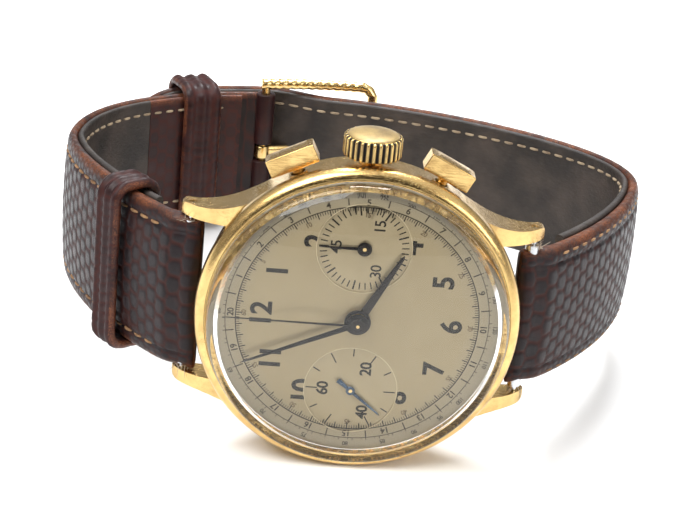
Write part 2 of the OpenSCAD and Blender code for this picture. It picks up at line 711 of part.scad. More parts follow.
// The strap tapers from the lugs to the buckle: its two edges are slanted planes
module taper(gap = 0) rotate([90, 0, 90]) linear_extrude(90, center = true) {
    wide = strap_w / 2 - gap;
    narrow = strap_end_w / 2 - gap;
    polygon([[-wide, 2], [wide, 2], [wide, -16], [narrow, -46], [narrow, -58], [-narrow, -58],
        [-narrow, -46], [-wide, -16]]);
}

module at_bar(side, r) translate([side * bar_x, 0, -bar_depth]) rotate([90, 0, 0])
    cylinder(r = r, h = 30, center = true);
module at_pin(r, h) translate([pin_x, 0, loop(pin_t)[1]]) rotate([90, 0, 0])
    cylinder(r = r, h = h, center = true);
end_t = bar_t + 1;
split = 0.35;             // where leather and lining meet, inside the loop line

// A strap's outer leather, on the side of x that side gives: it folds round the spring bar
module strap_leather(side, to, rise) difference() {
    intersection() {
        union() {
            across(30) polygon(band(side * end_t, to,
                function (t) mix(-1.2, -split, ease((abs(t) - end_t) / 5)) + rise(t),
                function (t) outer(t) + rise(t)));
            at_bar(side, 1.42);
        }
        taper();
    }
    at_bar(side, 0.85);
    filler_space(side);
}

flat = function (t) 0;
raised = function (t) lay(t);

module buckle_side_leather() place() color(leather) difference() {
    union() {
        strap_leather(-1, pin_t - 358, flat);
        intersection() {
            at_pin(1.25, 30);
            taper();
        }
    }
    at_pin(0.6, 30);
    translate([pin_x - 1.9, -1.1, loop(pin_t)[1] - 4]) cube([6, 2.2, 8]);
}
module buckle_side_lining() place() color(lining) intersection() {
    across(30) polygon(band(-bar_t - 9, pin_t - 354, function (t) -inner(t), function (t) -split));
    taper();
}
// What is cut away to round the end of the tail
module tail_corners() {
    t = tip_t - 13;
    turn = atan2(loop_out(t)[0], loop_out(t)[1]);
    c = off(t, 2);
    translate([c[0], 0, c[1]]) rotate([0, turn, 0]) difference() {
        translate([0, -20, -9]) cube([30, 40, 18]);
        cylinder(r = strap_end_w / 2 - 0.05, h = 30, center = true);
    }
}
module tail_slot() translate([off(191, 0)[0], 0, off(191, 0)[1]]) cube([8.4, 1.9, 9], center = true);
module tail_side_leather() place() color(leather) difference() {
    strap_leather(1, tip_t, raised);
    tail_corners();
    tail_slot();
}
module tail_side_lining() place() color(lining) difference() {
    intersection() {
        across(30) polygon(band(bar_t + 9, tip_t, function (t) lay(t) - inner(t),
            function (t) lay(t) - split));
        taper();
    }
    tail_corners();
    tail_slot();
}
// The wedge of filler that pads the strap near the lugs
module filler_space(side) intersection() {
    across(30) polygon(band(side * (bar_t + 10), side * (bar_t + 52), function (t) -split,
        function (t) mix(1, -0.05, ease((abs(t) - bar_t) / 55))));
    taper(1.8);
}
module strap_fillers() place() color([0.5, 0.42, 0.33]) for (side = [-1, 1]) filler_space(side);

// A leather band round the strap at t, as wide as w along the strap
module keeper(t, w, lo, hi, half) {
    turn = atan2(loop_out(t)[0], loop_out(t)[1]);
    wall = 1.1;
    translate([loop(t)[0], 0, loop(t)[1]]) rotate([0, turn, 0]) difference() {
        translate([-w / 2, -half - wall, lo - wall])
            cube([w, 2 * (half + wall), hi - lo + 2 * wall]);
        translate([-w, -half, lo]) cube([2 * w, 2 * half, hi - lo]);
    }
}
keeper_t = -54;
fixed_t = 216;
module free_keeper() place() color(leather) keeper(keeper_t, 4, -1.7, 2.55, 9.1);
module fixed_keeper() place() color(leather) keeper(fixed_t, 5, -1.35, 4.0, 8.45);

module spring_bars() place() color(steel) for (s = [-1, 1]) translate([s * bar_x, 0, -bar_depth])
    rotate([90, 0, 0]) {
        cylinder(r = 0.75, h = 17, center = true);
        cylinder(r = 0.42, h = 20.6, center = true);
    }

// ---- buckle --------------------------------------------------------------------------------------------
function frame_line(t) = front_lift * (pin_t - t) / (pin_t - front_t);
module buckle_frame() place() color(gold) difference() {
    union() {
        for (s = [-1, 1]) translate([0, s * (rest_q - 0.7), 0]) across(1.4) polygon(concat(
            [for (i = [0:10]) let (t = mix(pin_t + 1.6, front_t - 1, i / 10)) off(t, frame_line(t) + 0.75)],
            [for (i = [10:-1:0]) let (t = mix(pin_t + 1.6, front_t - 1, i / 10))
                off(t, frame_line(t) - 0.75)]));
        translate([off(front_t, front_lift)[0], 0, off(front_t, front_lift)[1]]) rotate([90, 0, 0])
            cylinder(r = front_r, h = 2 * rest_q, center = true);
    }
    at_pin(0.6, 30);
}
tongue_rise = 3.55;       // how far the tongue climbs to pass over the front bar
module buckle_tongue() place() color(gold) difference() {
    union() {
        across(1.3) polygon(concat(
            [for (i = [0:8]) let (t = mix(pin_t, front_t - 2.2, i / 8), s = i / 8)
                off(t, tongue_rise * s + 0.35)],
            [for (i = [8:-1:0]) let (t = mix(pin_t, front_t - 2.2, i / 8), s = i / 8)
                off(t, tongue_rise * s - 0.35)]));
        at_pin(0.95, 1.7);
    }
    at_pin(0.6, 30);
}
module buckle_pin() place() color(gold) at_pin(0.54, 2 * rest_q - 0.4);

case_band();
bezel();
crystal();
case_back();
crown_tube();
case_clamps();
dial();
hour_hand();
minute_hand();
sweep_seconds_hand();
small_seconds_hand();
minute_counter_hand();
crown();
winding_stem();
start_pusher();
reset_pusher();
pusher_tubes();
pusher_springs();
mainplate();
barrel_bridge();
train_bridge();
balance_cock();
pallet_bridge();
mainspring_barrel();
centre_wheel();
third_wheel();
fourth_wheel();
escape_wheel();
pallet_fork();
balance_wheel();
hairspring();
cannon_pinion();
minute_wheel();
hour_wheel();
ratchet_wheel();
crown_wheel();
winding_pinion();
chronograph_runner();
coupling_lever();
coupling_wheel();
intermediate_wheel();
minute_counter_wheel();
column_wheel();
operating_lever();
reset_hammer();
chronograph_bridge();
jewels();
bridge_screws();
spring_bars();
buckle_side_leather();
buckle_side_lining();
tail_side_leather();
tail_side_lining();
strap_fillers();
fixed_keeper();
free_keeper();
buckle_frame();
buckle_tongue();
buckle_pin();
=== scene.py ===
# %% [markdown]
# # A wrist chronograph on a lizard strap
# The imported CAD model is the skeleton: it says where each piece sits and how it moves. This
# lesson dresses it. Every new surface is a formula on a grid of points, so a size can be changed
# by changing one number, and every finish is a small network of shader nodes.

# %% Load the frame
import json
import math
import bmesh
import bpy
import numpy as np
from mathutils import Matrix, Vector


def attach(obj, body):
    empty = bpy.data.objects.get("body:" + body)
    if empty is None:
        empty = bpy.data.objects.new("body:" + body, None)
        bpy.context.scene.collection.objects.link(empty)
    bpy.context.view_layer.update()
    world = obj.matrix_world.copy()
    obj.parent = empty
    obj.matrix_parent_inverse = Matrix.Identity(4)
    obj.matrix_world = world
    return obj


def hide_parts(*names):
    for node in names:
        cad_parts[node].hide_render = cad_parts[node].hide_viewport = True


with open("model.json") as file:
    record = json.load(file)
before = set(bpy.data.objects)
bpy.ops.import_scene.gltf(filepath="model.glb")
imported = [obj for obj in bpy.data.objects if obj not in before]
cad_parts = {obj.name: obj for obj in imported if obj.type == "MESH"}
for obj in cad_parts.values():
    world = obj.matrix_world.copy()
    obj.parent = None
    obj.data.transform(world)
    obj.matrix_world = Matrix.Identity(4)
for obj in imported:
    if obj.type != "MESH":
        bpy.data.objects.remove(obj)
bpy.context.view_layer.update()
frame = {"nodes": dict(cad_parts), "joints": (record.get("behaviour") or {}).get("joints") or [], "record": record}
joints = {joint["name"]: joint for joint in frame["joints"]}

# %% [markdown]
# The watch stands on its 9 o'clock side with the crown up, but it is drawn flat, as it would be on
# a bench: x runs from 12 to 6 o'clock, y from 9 to 3 o'clock and z from the dial towards the eye,
# all in millimetres. The minute hand's joint tells where that bench lies in the frame, so one
# function carries every point from the bench to the frame.

# %% From the bench to the frame
MM = 0.001
dial_centre = np.array(joints["minute_hand_turn"]["pos_m"])
dial_z = np.array(joints["minute_hand_turn"]["axis"])
dial_x = np.array([1.0, 0.0, 0.0])
dial_y = np.cross(dial_z, dial_x)
bench = np.stack([dial_x, dial_y, dial_z])
lay_angle = math.atan2(dial_y[2], dial_y[1])
print("the dial is turned", round(math.degrees(lay_angle), 2), "degrees up from the floor")


def to_row(points):
    """Bench millimetres to frame metres: the three axes weighted by x, y and z, plus the centre."""
    return dial_centre + np.asarray(points, float) @ bench * MM


# %% [markdown]
# A surface is a grid of points. Its faces are the quads between neighbouring points, closed round
# where the grid wraps. Poles and caps are rows whose points all fall together, and merging them
# leaves one point there, so each piece comes out closed.

# %% Grids, lathes and sections
def surface(points, wrap_rows=False, wrap_cols=False):
    """The points of a (rows, cols, 3) grid in one list, and the quads between neighbours."""
    rows, cols = points.shape[:2]
    r, c = np.meshgrid(np.arange(rows - (not wrap_rows)), np.arange(cols - (not wrap_cols)),
                       indexing="ij")
    below, right = (r + 1) % rows, (c + 1) % cols
    quads = np.stack([r * cols + c, r * cols + right, below * cols + right, below * cols + c], -1)
    return points.reshape(-1, 3), quads.reshape(-1, 4)


def together(parts):
    """Several surfaces as one: each one's quads count on from the points before it."""
    starts = np.cumsum([0] + [len(points) for points, _ in parts[:-1]])
    return (np.concatenate([points for points, _ in parts]),
            np.concatenate([quads + start for (_, quads), start in zip(parts, starts)]))


def lathe(profile, turns=180, wrap=False):
    """A profile of (radius, height) turned about z: x = r cos a, y = r sin a, z = height."""
    profile = np.asarray(profile, float)
    a = np.linspace(0, 2 * np.pi, turns, endpoint=False)
    r, z = profile[:, :1], profile[:, 1:]
    return surface(np.stack([r * np.cos(a), r * np.sin(a), z + 0 * a], -1), wrap, True)


def arc(cx, cy, rx, ry, start, stop, steps):
    """Points of an ellipse's arc, from one angle in degrees to another."""
    a = np.radians(np.linspace(start, stop, steps + 1))
    return np.stack([cx + rx * np.cos(a), cy + ry * np.sin(a)], -1)


def moved(part, x=0, y=0, z=0):
    """The same surface, shifted."""
    return part[0] + np.array([x, y, z]), part[1]


def turned(part, degrees):
    """The same surface, turned about z."""
    c, s = math.cos(math.radians(degrees)), math.sin(math.radians(degrees))
    return part[0] @ np.array([[c, s, 0], [-s, c, 0], [0, 0, 1]]), part[1]


def on_spoke(part, degrees, depth):
    """A surface whose z axis is laid outwards along a spoke of the dial, at a depth behind it."""
    x, y, z = part[0].T
    return turned((np.stack([z, y, -x - depth], -1), part[1]), degrees)


def clock(degrees):
    """The direction of a clock angle: 12 o'clock lies along -x and 3 o'clock along +y."""
    a = np.radians(degrees)
    return np.stack([-np.cos(a), np.sin(a)], -1)


def mix(a, b, t):
    """a at t = 0, b at t = 1."""
    return a + (b - a) * t


def ease(t):
    """A soft step: half of one minus the cosine, held at 0 before 0 and at 1 after 1."""
    return 0.5 - 0.5 * np.cos(np.pi * np.clip(t, 0, 1))


# %% [markdown]
# A piece is a mesh with a material that rides on a CAD body. Smooth shading with the sharp edges
# kept by their angle lets one mesh show both soft curves and crisp corners.

# %% Making a piece
def new_piece(name, part, material, body="root", marks=None, sharp=38,
              stands_for=()):
    """Mesh, merged points, outward faces, material and body. marks are values per point."""
    mesh = bpy.data.meshes.new(name)
    mesh.from_pydata(to_row(part[0]).tolist(), [], part[1].tolist())
    for key, values in (marks or {}).items():
        mesh.attributes.new(key, "FLOAT", "POINT").data.foreach_set(
            "value", np.asarray(values, np.float32).ravel())
    shell = bmesh.new()
    shell.from_mesh(mesh)
    bmesh.ops.remove_doubles(shell, verts=shell.verts, dist=2e-7)
    bmesh.ops.recalc_face_normals(shell, faces=shell.faces)
    shell.to_mesh(mesh)
    shell.free()
    mesh.shade_smooth()
    mesh.set_sharp_from_angle(angle=math.radians(sharp))
    piece = bpy.data.objects.new(name, mesh)
    bpy.context.scene.collection.objects.link(piece)
    mesh.materials.append(material)
    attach(piece, body)
    if stands_for:
        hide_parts(*stands_for)
    print(f"{name}: {len(mesh.vertices)} points, {len(mesh.polygons)} faces")


# %% [markdown]
# ## Camera, floor and light
# The eye looks down on the dial from the crown's side of the watch, a little from the left. The
# floor is plain and pale, two broad soft lights stand over it, and a slim one behind the crown
# draws the bright streaks on the crystal's edge.

# %% Camera
eye = to_row([-13.97, 85.92, 187.13])
forward = np.array([0.0616, -0.3872, -0.9200]) @ bench
right = np.array([0.9954, 0.0911, 0.0283]) @ bench
forward /= np.linalg.norm(forward)
right -= forward * (right @ forward)
right /= np.linalg.norm(right)
up = np.cross(right, forward)
camera_data = bpy.data.cameras.new("camera")
camera_data.lens = 98.9
camera_data.sensor_width = 36
camera_data.clip_start = 0.001
camera = bpy.data.objects.new("camera", camera_data)
pose = np.eye(4)
pose[:3, 0], pose[:3, 1], pose[:3, 2], pose[:3, 3] = right, up, -forward, eye
camera.matrix_world = Matrix(pose.tolist())
bpy.context.scene.collection.objects.link(camera)
bpy.context.scene.camera = camera

# %% Floor and lights
floor_mesh = bpy.data.meshes.new("floor")
floor_mesh.from_pydata([(-2, -2, 0), (2, -2, 0), (2, 2, 0), (-2, 2, 0)], [], [(0, 1, 2, 3)])
floor = bpy.data.objects.new("floor", floor_mesh)
bpy.context.scene.collection.objects.link(floor)


def soft_light(name, place, size, power, aim=(0, 0, 0), tint=(1, 1, 1)):
    """A square area light at a place in frame metres, turned towards its aim."""
    light = bpy.data.lights.new(name, "AREA")
    light.size, light.energy, light.color = size, power, tint
    lamp = bpy.data.objects.new(name, light)
    lamp.location = place
    lamp.rotation_euler = (Vector(aim) - Vector(place)).to_track_quat("-Z", "Y").to_euler()
    bpy.context.scene.collection.objects.link(lamp)


watch_middle = (0, -0.01, 0.015)
soft_light("key_light", (-0.25, -0.15, 0.55), 0.4, 3.9, watch_middle)
soft_light("fill_light", (0.5, -0.35, 0.3), 0.3, 1.2, watch_middle, (1, 0.97, 0.93))
soft_light("streak_light", (0.02, 0.22, 0.34), 0.14, 1.6, watch_middle, (0.95, 0.98, 1))

# %% [markdown]
# Metal and glass show only what surrounds them. A sky that is bright above and greyer towards the
# horizon gives the gold its dark bands, so it is a ramp on the direction's height. In a real room
# the onlooker stands in front of the light, so the sky has a broad dark patch on that side: it
# keeps the crystal clear and darkens the metal's front faces. The plain Standard view keeps the
# gold's colour in its highlights.

# %% Sky
world = bpy.data.worlds.new("studio")
bpy.context.scene.world = world
world.use_nodes = True
sky_nodes, sky_links = world.node_tree.nodes, world.node_tree.links
sky_background = sky_nodes["Background"]
sky_where = sky_nodes.new("ShaderNodeTexCoord")
sky_split = sky_nodes.new("ShaderNodeSeparateXYZ")
sky_ramp = sky_nodes.new("ShaderNodeValToRGB")
sky_links.new(sky_where.outputs["Generated"], sky_split.inputs[0])
sky_links.new(sky_split.outputs["Z"], sky_ramp.inputs[0])
sky_links.new(sky_ramp.outputs[0], sky_background.inputs["Color"])
sky_ramp.color_ramp.elements[0].position = 0.0
sky_ramp.color_ramp.elements[0].color = (0.16, 0.16, 0.165, 1)
sky_ramp.color_ramp.elements[1].position = 0.62
sky_ramp.color_ramp.elements[1].color = (1, 1, 1, 1)
sky_ramp.color_ramp.elements.new(0.3).color = (0.42, 0.42, 0.43, 1)
sky_dot = sky_nodes.new("ShaderNodeVectorMath")
sky_dot.operation = "DOT_PRODUCT"
sky_dot.inputs[1].default_value = (-0.06, -0.8, 0.6)
sky_patch = sky_nodes.new("ShaderNodeMapRange")
sky_patch.inputs["From Min"].default_value = 0.95
sky_patch.inputs["From Max"].default_value = 0.55
sky_patch.inputs["To Min"].default_value = 0.1
sky_patch.inputs["To Max"].default_value = 0.85
sky_links.new(sky_where.outputs["Generated"], sky_dot.inputs[0])
sky_links.new(sky_dot.outputs["Value"], sky_patch.inputs["Value"])
sky_links.new(sky_patch.outputs[0], sky_background.inputs["Strength"])

bpy.context.scene.view_settings.view_transform = "Standard"

# %% [markdown]
# ## Materials
# A material here is a Principled shader whose colour, roughness and bump come from a few nodes.
# Effects that several finishes share are node groups with named inputs. All patterns are laid out
# in the bench's millimetres: a Mapping node takes the frame's coordinates back to the bench.

# %% Shader helpers
def wired(tree, kind, inputs=None, **settings):
    """A node with its settings made and its inputs linked or filled in."""
    node = tree.nodes.new(kind)
    for key, value in settings.items():
        setattr(node, key, value)
    for key, value in (inputs or {}).items():
        if isinstance(value, bpy.types.NodeSocket):
            tree.links.new(value, node.inputs[key])
        else:
            node.inputs[key].default_value = value
    return node


def math_node(tree, operation, a, b=0.0):
    """One sum on two values, held between 0 and 1 where the name ends in a c."""
    node = wired(tree, "ShaderNodeMath", {0: a, 1: b}, operation=operation.rstrip("c"))
    node.use_clamp = operation.endswith("c")
    return node.outputs[0]


def ramp(tree, value, low, high):
    """0 below low, 1 above high."""
    node = wired(tree, "ShaderNodeMapRange", {"Value": value, "From Min": low, "From Max": high})
    return node.outputs[0]


def blend(tree, mask, a, b):
    """Colour a where the mask is 0 and colour b where it is 1."""
    node = wired(tree, "ShaderNodeMix", data_type="RGBA")
    for socket, value in ((node.inputs[0], mask), (node.inputs[6], a), (node.inputs[7], b)):
        if isinstance(value, bpy.types.NodeSocket):
            tree.links.new(value, socket)
        elif socket.type == "RGBA":
            socket.default_value = (*value, 1)
        else:
            socket.default_value = value
    return node.outputs[2]


def noise(tree, where, scale, detail=3.0, roughness=0.5):
    """Cloudy noise between 0 and 1."""
    node = wired(tree, "ShaderNodeTexNoise", {"Vector": where, "Scale": scale, "Detail": detail,
                                              "Roughness": roughness})
    return node.outputs[0]


def on_bench(tree):
    """The place on the bench, in millimetres."""
    where = tree.nodes.new("ShaderNodeTexCoord")
    node = wired(tree, "ShaderNodeMapping", {"Vector": where.outputs["Object"]},
                 vector_type="TEXTURE")
    node.inputs["Location"].default_value = dial_centre.tolist()
    node.inputs["Rotation"].default_value = (lay_angle, 0, 0)
    node.inputs["Scale"].default_value = (MM, MM, MM)
    return node.outputs[0]


def stretched(tree, where, degrees, along, across):
    """A place turned about z and scaled, so that noise on it runs in streaks."""
    node = wired(tree, "ShaderNodeMapping", {"Vector": where})
    node.inputs["Rotation"].default_value = (0.4, 0.3, math.radians(degrees))
    node.inputs["Scale"].default_value = (along, across, across)
    return node.outputs[0]


def new_group(name, inputs, outputs):
    """A node group: (name, kind, default) for inputs, (name, kind) for outputs."""
    tree = bpy.data.node_groups.new(name, "ShaderNodeTree")
    for label, kind, default in inputs:
        socket = tree.interface.new_socket(label, in_out="INPUT", socket_type=kind)
        if default is not None:
            socket.default_value = default
    for label, kind in outputs:
        tree.interface.new_socket(label, in_out="OUTPUT", socket_type=kind)
    return tree, tree.nodes.new("NodeGroupInput"), tree.nodes.new("NodeGroupOutput")


def place_group(tree, group, inputs):
    """One group in a material, with its own values."""
    node = tree.nodes.new("ShaderNodeGroup")
    node.node_tree = group
    for key, value in inputs.items():
        if isinstance(value, bpy.types.NodeSocket):
            tree.links.new(value, node.inputs[key])
        else:
            node.inputs[key].default_value = value
    return node


def new_material(name, **fixed):
    """A material with its Principled shader, and the values that are the same all over."""
    material = bpy.data.materials.new(name)
    material.use_nodes = True
    shader = material.node_tree.nodes["Principled BSDF"]
    for key, value in fixed.items():
        shader.inputs[key.replace("_", " ")].default_value = value
    return material, material.node_tree, shader


def bump(tree, shader, height, distance_mm, strength=1.0):
    """Height between 0 and 1 as a Bump node on the shader's normal."""
    node = wired(tree, "ShaderNodeBump", {"Height": height, "Strength": strength,
                                          "Distance": distance_mm * MM})
    tree.links.new(node.outputs[0], shader.inputs["Normal"])


# %% [markdown]
# Worn metal has two marks: hairline scratches in every direction, which only roughen it, and a
# slow tarnish that darkens it in patches. One group makes both. Each scratch layer is noise
# stretched fifty to one, of which only the crests are kept.

# %% Worn metal group
worn_metal, group_in, group_out = new_group(
    "worn_metal",
    [("Place", "NodeSocketVector", None), ("Scratches", "NodeSocketFloat", 0.5),
     ("Tarnish", "NodeSocketFloat", 0.4)],
    [("Scratch", "NodeSocketFloat"), ("Patina", "NodeSocketFloat"), ("Height", "NodeSocketFloat")])
crests = 0.0
for degrees, finest in ((17, 26.0), (74, 31.0), (131, 22.0)):
    streaks = noise(worn_metal, stretched(worn_metal, group_in.outputs["Place"], degrees, 0.5,
                                          finest), 1.0, 2.0)
    crests = math_node(worn_metal, "MAXIMUM", crests, ramp(worn_metal, streaks, 0.6, 0.74))
scratch = math_node(worn_metal, "MULTIPLY", crests, group_in.outputs["Scratches"])
clouds = noise(worn_metal, group_in.outputs["Place"], 0.35, 5.0, 0.6)
specks = noise(worn_metal, group_in.outputs["Place"], 5.0, 4.0, 0.65)
patches = math_node(worn_metal, "ADD", ramp(worn_metal, clouds, 0.42, 0.72),
                    ramp(worn_metal, specks, 0.6, 0.8))
patina = math_node(worn_metal, "MULTIPLYc", patches, group_in.outputs["Tarnish"])
worn_metal.links.new(scratch, group_out.inputs["Scratch"])
worn_metal.links.new(patina, group_out.inputs["Patina"])
worn_metal.links.new(math_node(worn_metal, "SUBTRACT", specks, scratch),
                     group_out.inputs["Height"])


def metal(name, colour, tarnished, rough, scratches, tarnish):
    """A worn metal: its colour, what it tarnishes to, its roughness and how scratched it is."""
    material, tree, shader = new_material(name, Metallic=1.0)
    wear = place_group(tree, worn_metal, {"Place": on_bench(tree), "Scratches": scratches,
                                          "Tarnish": tarnish})
    tree.links.new(blend(tree, wear.outputs["Patina"], colour, tarnished),
                   shader.inputs["Base Color"])
    roughness = math_node(tree, "MULTIPLY", wear.outputs["Scratch"], 0.35)
    roughness = math_node(tree, "ADD", roughness, rough)
    patina_rough = math_node(tree, "MULTIPLY", wear.outputs["Patina"], 0.25)
    tree.links.new(math_node(tree, "ADDc", roughness, patina_rough), shader.inputs["Roughness"])
    bump(tree, shader, wear.outputs["Height"], 0.006)
    return material


# %% Metals
case_gold = metal("case_gold", (0.80, 0.55, 0.22), (0.3, 0.15, 0.05), 0.14, 0.6, 0.55)
buckle_gold = metal("buckle_gold", (0.84, 0.6, 0.26), (0.42, 0.24, 0.09), 0.16, 0.6, 0.4)
polished_steel = metal("polished_steel", (0.62, 0.63, 0.65), (0.36, 0.35, 0.34), 0.2, 0.4, 0.4)
blued_steel = metal("blued_steel", (0.045, 0.075, 0.12), (0.12, 0.14, 0.17), 0.26, 0.5, 0.6)
gilt_brass = metal("gilt_brass", (0.74, 0.53, 0.23), (0.45, 0.3, 0.12), 0.24, 0.3, 0.4)
hand_black = metal("hand_black", (0.02, 0.018, 0.018), (0.07, 0.055, 0.045), 0.3, 0.5, 0.35)

# %% [markdown]
# The bridges are nickelled and striped: broad, slightly curved strokes that catch the light in
# turn. A sine along the bench's diagonal swings the roughness and the tone together.

# %% Striped nickel
bridge_nickel, tree, shader = new_material("bridge_nickel", Metallic=1.0)
place = on_bench(tree)
wave = wired(tree, "ShaderNodeTexWave", {"Vector": place, "Scale": 0.24, "Distortion": 0.4,
                                         "Detail": 1.0}, bands_direction="DIAGONAL")
grain = noise(tree, stretched(tree, place, 45, 0.6, 28), 1.0, 2.0)
tree.links.new(blend(tree, wave.outputs["Fac"], (0.52, 0.5, 0.46), (0.72, 0.7, 0.65)),
               shader.inputs["Base Color"])
tree.links.new(math_node(tree, "ADD", math_node(tree, "MULTIPLY", wave.outputs["Fac"], 0.18),
                         math_node(tree, "MULTIPLY", grain, 0.3)), shader.inputs["Roughness"])
bump(tree, shader, grain, 0.004)

# %% [markdown]
# A ruby bearing is clear red stone, polished like glass.

# %% Ruby
ruby, tree, shader = new_material("ruby", Roughness=0.08, IOR=1.76, Coat_Weight=0.6)
tree.links.new(blend(tree, noise(tree, on_bench(tree), 3.0), (0.36, 0.01, 0.06), (0.6, 0.03, 0.12)),
               shader.inputs["Base Color"])

# %% [markdown]
# The crystal is a plain acrylic dome. As glass it would throw a dark shadow on the dial, because
# light paths through two curved faces are hard to find, so shadow rays pass it as if it were
# clear. A web of fine scratches only shows where a highlight meets it. Acrylic's index is 1.49; it
# is set lower here, at 1.35, so that the reflected sky veils the dial less.

# %% Crystal
crystal_glass, tree, shader = new_material("crystal", Transmission_Weight=1.0, IOR=1.35)
shader.inputs["Base Color"].default_value = (0.985, 0.985, 0.97, 1)
wear = place_group(tree, worn_metal, {"Place": on_bench(tree), "Scratches": 0.5, "Tarnish": 0.0})
tree.links.new(math_node(tree, "MULTIPLY", wear.outputs["Scratch"], 0.12),
               shader.inputs["Roughness"])
clear = wired(tree, "ShaderNodeBsdfTransparent", {"Color": (0.97, 0.97, 0.95, 1)})
path = tree.nodes.new("ShaderNodeLightPath")
passing = wired(tree, "ShaderNodeMixShader", {0: path.outputs["Is Shadow Ray"]})
tree.links.new(shader.outputs[0], passing.inputs[1])
tree.links.new(clear.outputs[0], passing.inputs[2])
tree.links.new(passing.outputs[0], tree.nodes["Material Output"].inputs["Surface"])

# %% [markdown]
# The dial is silvered brass that has aged to champagne: a satin metal paint with a very fine
# grain, spotted, and a little greyer towards the edge. The distance from the centre, a plain
# length in bench millimetres, drives the greying.

# %% Dial, ink and floor
dial_champagne, tree, shader = new_material("dial_champagne", Metallic=0.55)
place = on_bench(tree)
reach = wired(tree, "ShaderNodeVectorMath", {0: place}, operation="LENGTH").outputs["Value"]
clouds = noise(tree, place, 0.22, 4.0, 0.6)
spots = ramp(tree, noise(tree, place, 3.2, 5.0, 0.7), 0.66, 0.8)
tone = blend(tree, clouds, (0.27, 0.213, 0.122), (0.345, 0.28, 0.172))
tone = blend(tree, ramp(tree, reach, 11.5, 15.6), tone, (0.26, 0.228, 0.17))
tone = blend(tree, math_node(tree, "MULTIPLY", spots, 0.35), tone, (0.2, 0.13, 0.07))
tree.links.new(tone, shader.inputs["Base Color"])
tree.links.new(math_node(tree, "ADD", math_node(tree, "MULTIPLY", clouds, 0.15), 0.32),
               shader.inputs["Roughness"])
bump(tree, shader, noise(tree, place, 28.0, 3.0), 0.004)


def ink(name, colour, faded):
    """Printed ink that has faded in spots."""
    material, tree, shader = new_material(name, Specular_IOR_Level=0.15)
    worn = ramp(tree, noise(tree, on_bench(tree), 2.6, 5.0, 0.7), 0.45, 0.72)
    tree.links.new(blend(tree, worn, colour, faded), shader.inputs["Base Color"])
    tree.links.new(math_node(tree, "ADD", math_node(tree, "MULTIPLY", worn, 0.3), 0.45),
                   shader.inputs["Roughness"])
    return material


black_ink = ink("black_ink", (0.014, 0.012, 0.011), (0.045, 0.038, 0.03))
scale_ink = ink("scale_ink", (0.03, 0.025, 0.02), (0.1, 0.08, 0.055))
faint_ink = ink("faint_ink", (0.1, 0.07, 0.04), (0.19, 0.14, 0.085))
floor_paint, tree, shader = new_material("floor_paint", Roughness=0.55)
patches = noise(tree, on_bench(tree), 0.02)
tree.links.new(blend(tree, patches, (0.9, 0.9, 0.9), (0.93, 0.93, 0.93)),
               shader.inputs["Base Color"])
floor_mesh.materials.append(floor_paint)

# %% [markdown]
# Lizard skin is a mosaic of raised scales. Each scale's polished face is dark and greyish, and
# the dye stays redder in the seams between them and wears to orange along the folded edges. The
# strap's mesh carries these as values per point: how far inside its scale a point is, the
# scale's own tone, and how near the fold it lies. The material only mixes and adds the pores.

# %% Leather
def leather(name, face, seam, worn):
    """Skin that reads scale, tone and fold from the mesh."""
    material, tree, shader = new_material(name, Specular_IOR_Level=0.22, Coat_Weight=0.05,
                                          Coat_Roughness=0.25)
    place = on_bench(tree)
    inside, tone, fold = (wired(tree, "ShaderNodeAttribute", attribute_name=key).outputs["Fac"]
                          for key in ("scale", "tone", "fold"))
    clouds = noise(tree, place, 0.3, 4.0, 0.6)
    pores = noise(tree, place, 9.0, 4.0, 0.65)
    lit = blend(tree, math_node(tree, "MULTIPLY", tone, 0.65), face,
                tuple(1.9 * value for value in face))
    lit = blend(tree, ramp(tree, clouds, 0.5, 0.85), lit, seam)
    skin = blend(tree, ramp(tree, inside, 0.03, 0.32), seam, lit)
    rub = math_node(tree, "MULTIPLYc", fold, ramp(tree, pores, 0.42, 0.62))
    rub = math_node(tree, "MULTIPLYc", rub, ramp(tree, clouds, 0.35, 0.6))
    tree.links.new(blend(tree, rub, skin, worn), shader.inputs["Base Color"])
    dull = math_node(tree, "MULTIPLY", ramp(tree, inside, 0.6, 0.0), 0.3)
    rough = math_node(tree, "ADD", dull, math_node(tree, "MULTIPLY", pores, 0.25))
    tree.links.new(math_node(tree, "ADDc", rough, 0.2), shader.inputs["Roughness"])
    bump(tree, shader, pores, 0.03)
    return material


lizard = leather("lizard_leather", (0.011, 0.007, 0.008), (0.042, 0.011, 0.008),
                 (0.26, 0.085, 0.03))
red_lizard = leather("red_lizard", (0.022, 0.008, 0.008), (0.05, 0.012, 0.009), (0.26, 0.09, 0.04))

lining_skin, tree, shader = new_material("lining_leather")
place = on_bench(tree)
creases = noise(tree, stretched(tree, place, 90, 0.5, 2.4), 1.0, 5.0, 0.65)
grime = noise(tree, place, 0.25, 4.0)
tree.links.new(blend(tree, ramp(tree, grime, 0.35, 0.7), (0.014, 0.01, 0.008), (0.05, 0.036, 0.029)),
               shader.inputs["Base Color"])
tree.links.new(math_node(tree, "ADDc", math_node(tree, "MULTIPLY", creases, 0.4), 0.3),
               shader.inputs["Roughness"])
bump(tree, shader, creases, 0.12)

# %% [markdown]
# The thread is waxed tan linen. Two plies twist round each other, so a fast wave across the
# thread gives them, and dirt darkens it in places.

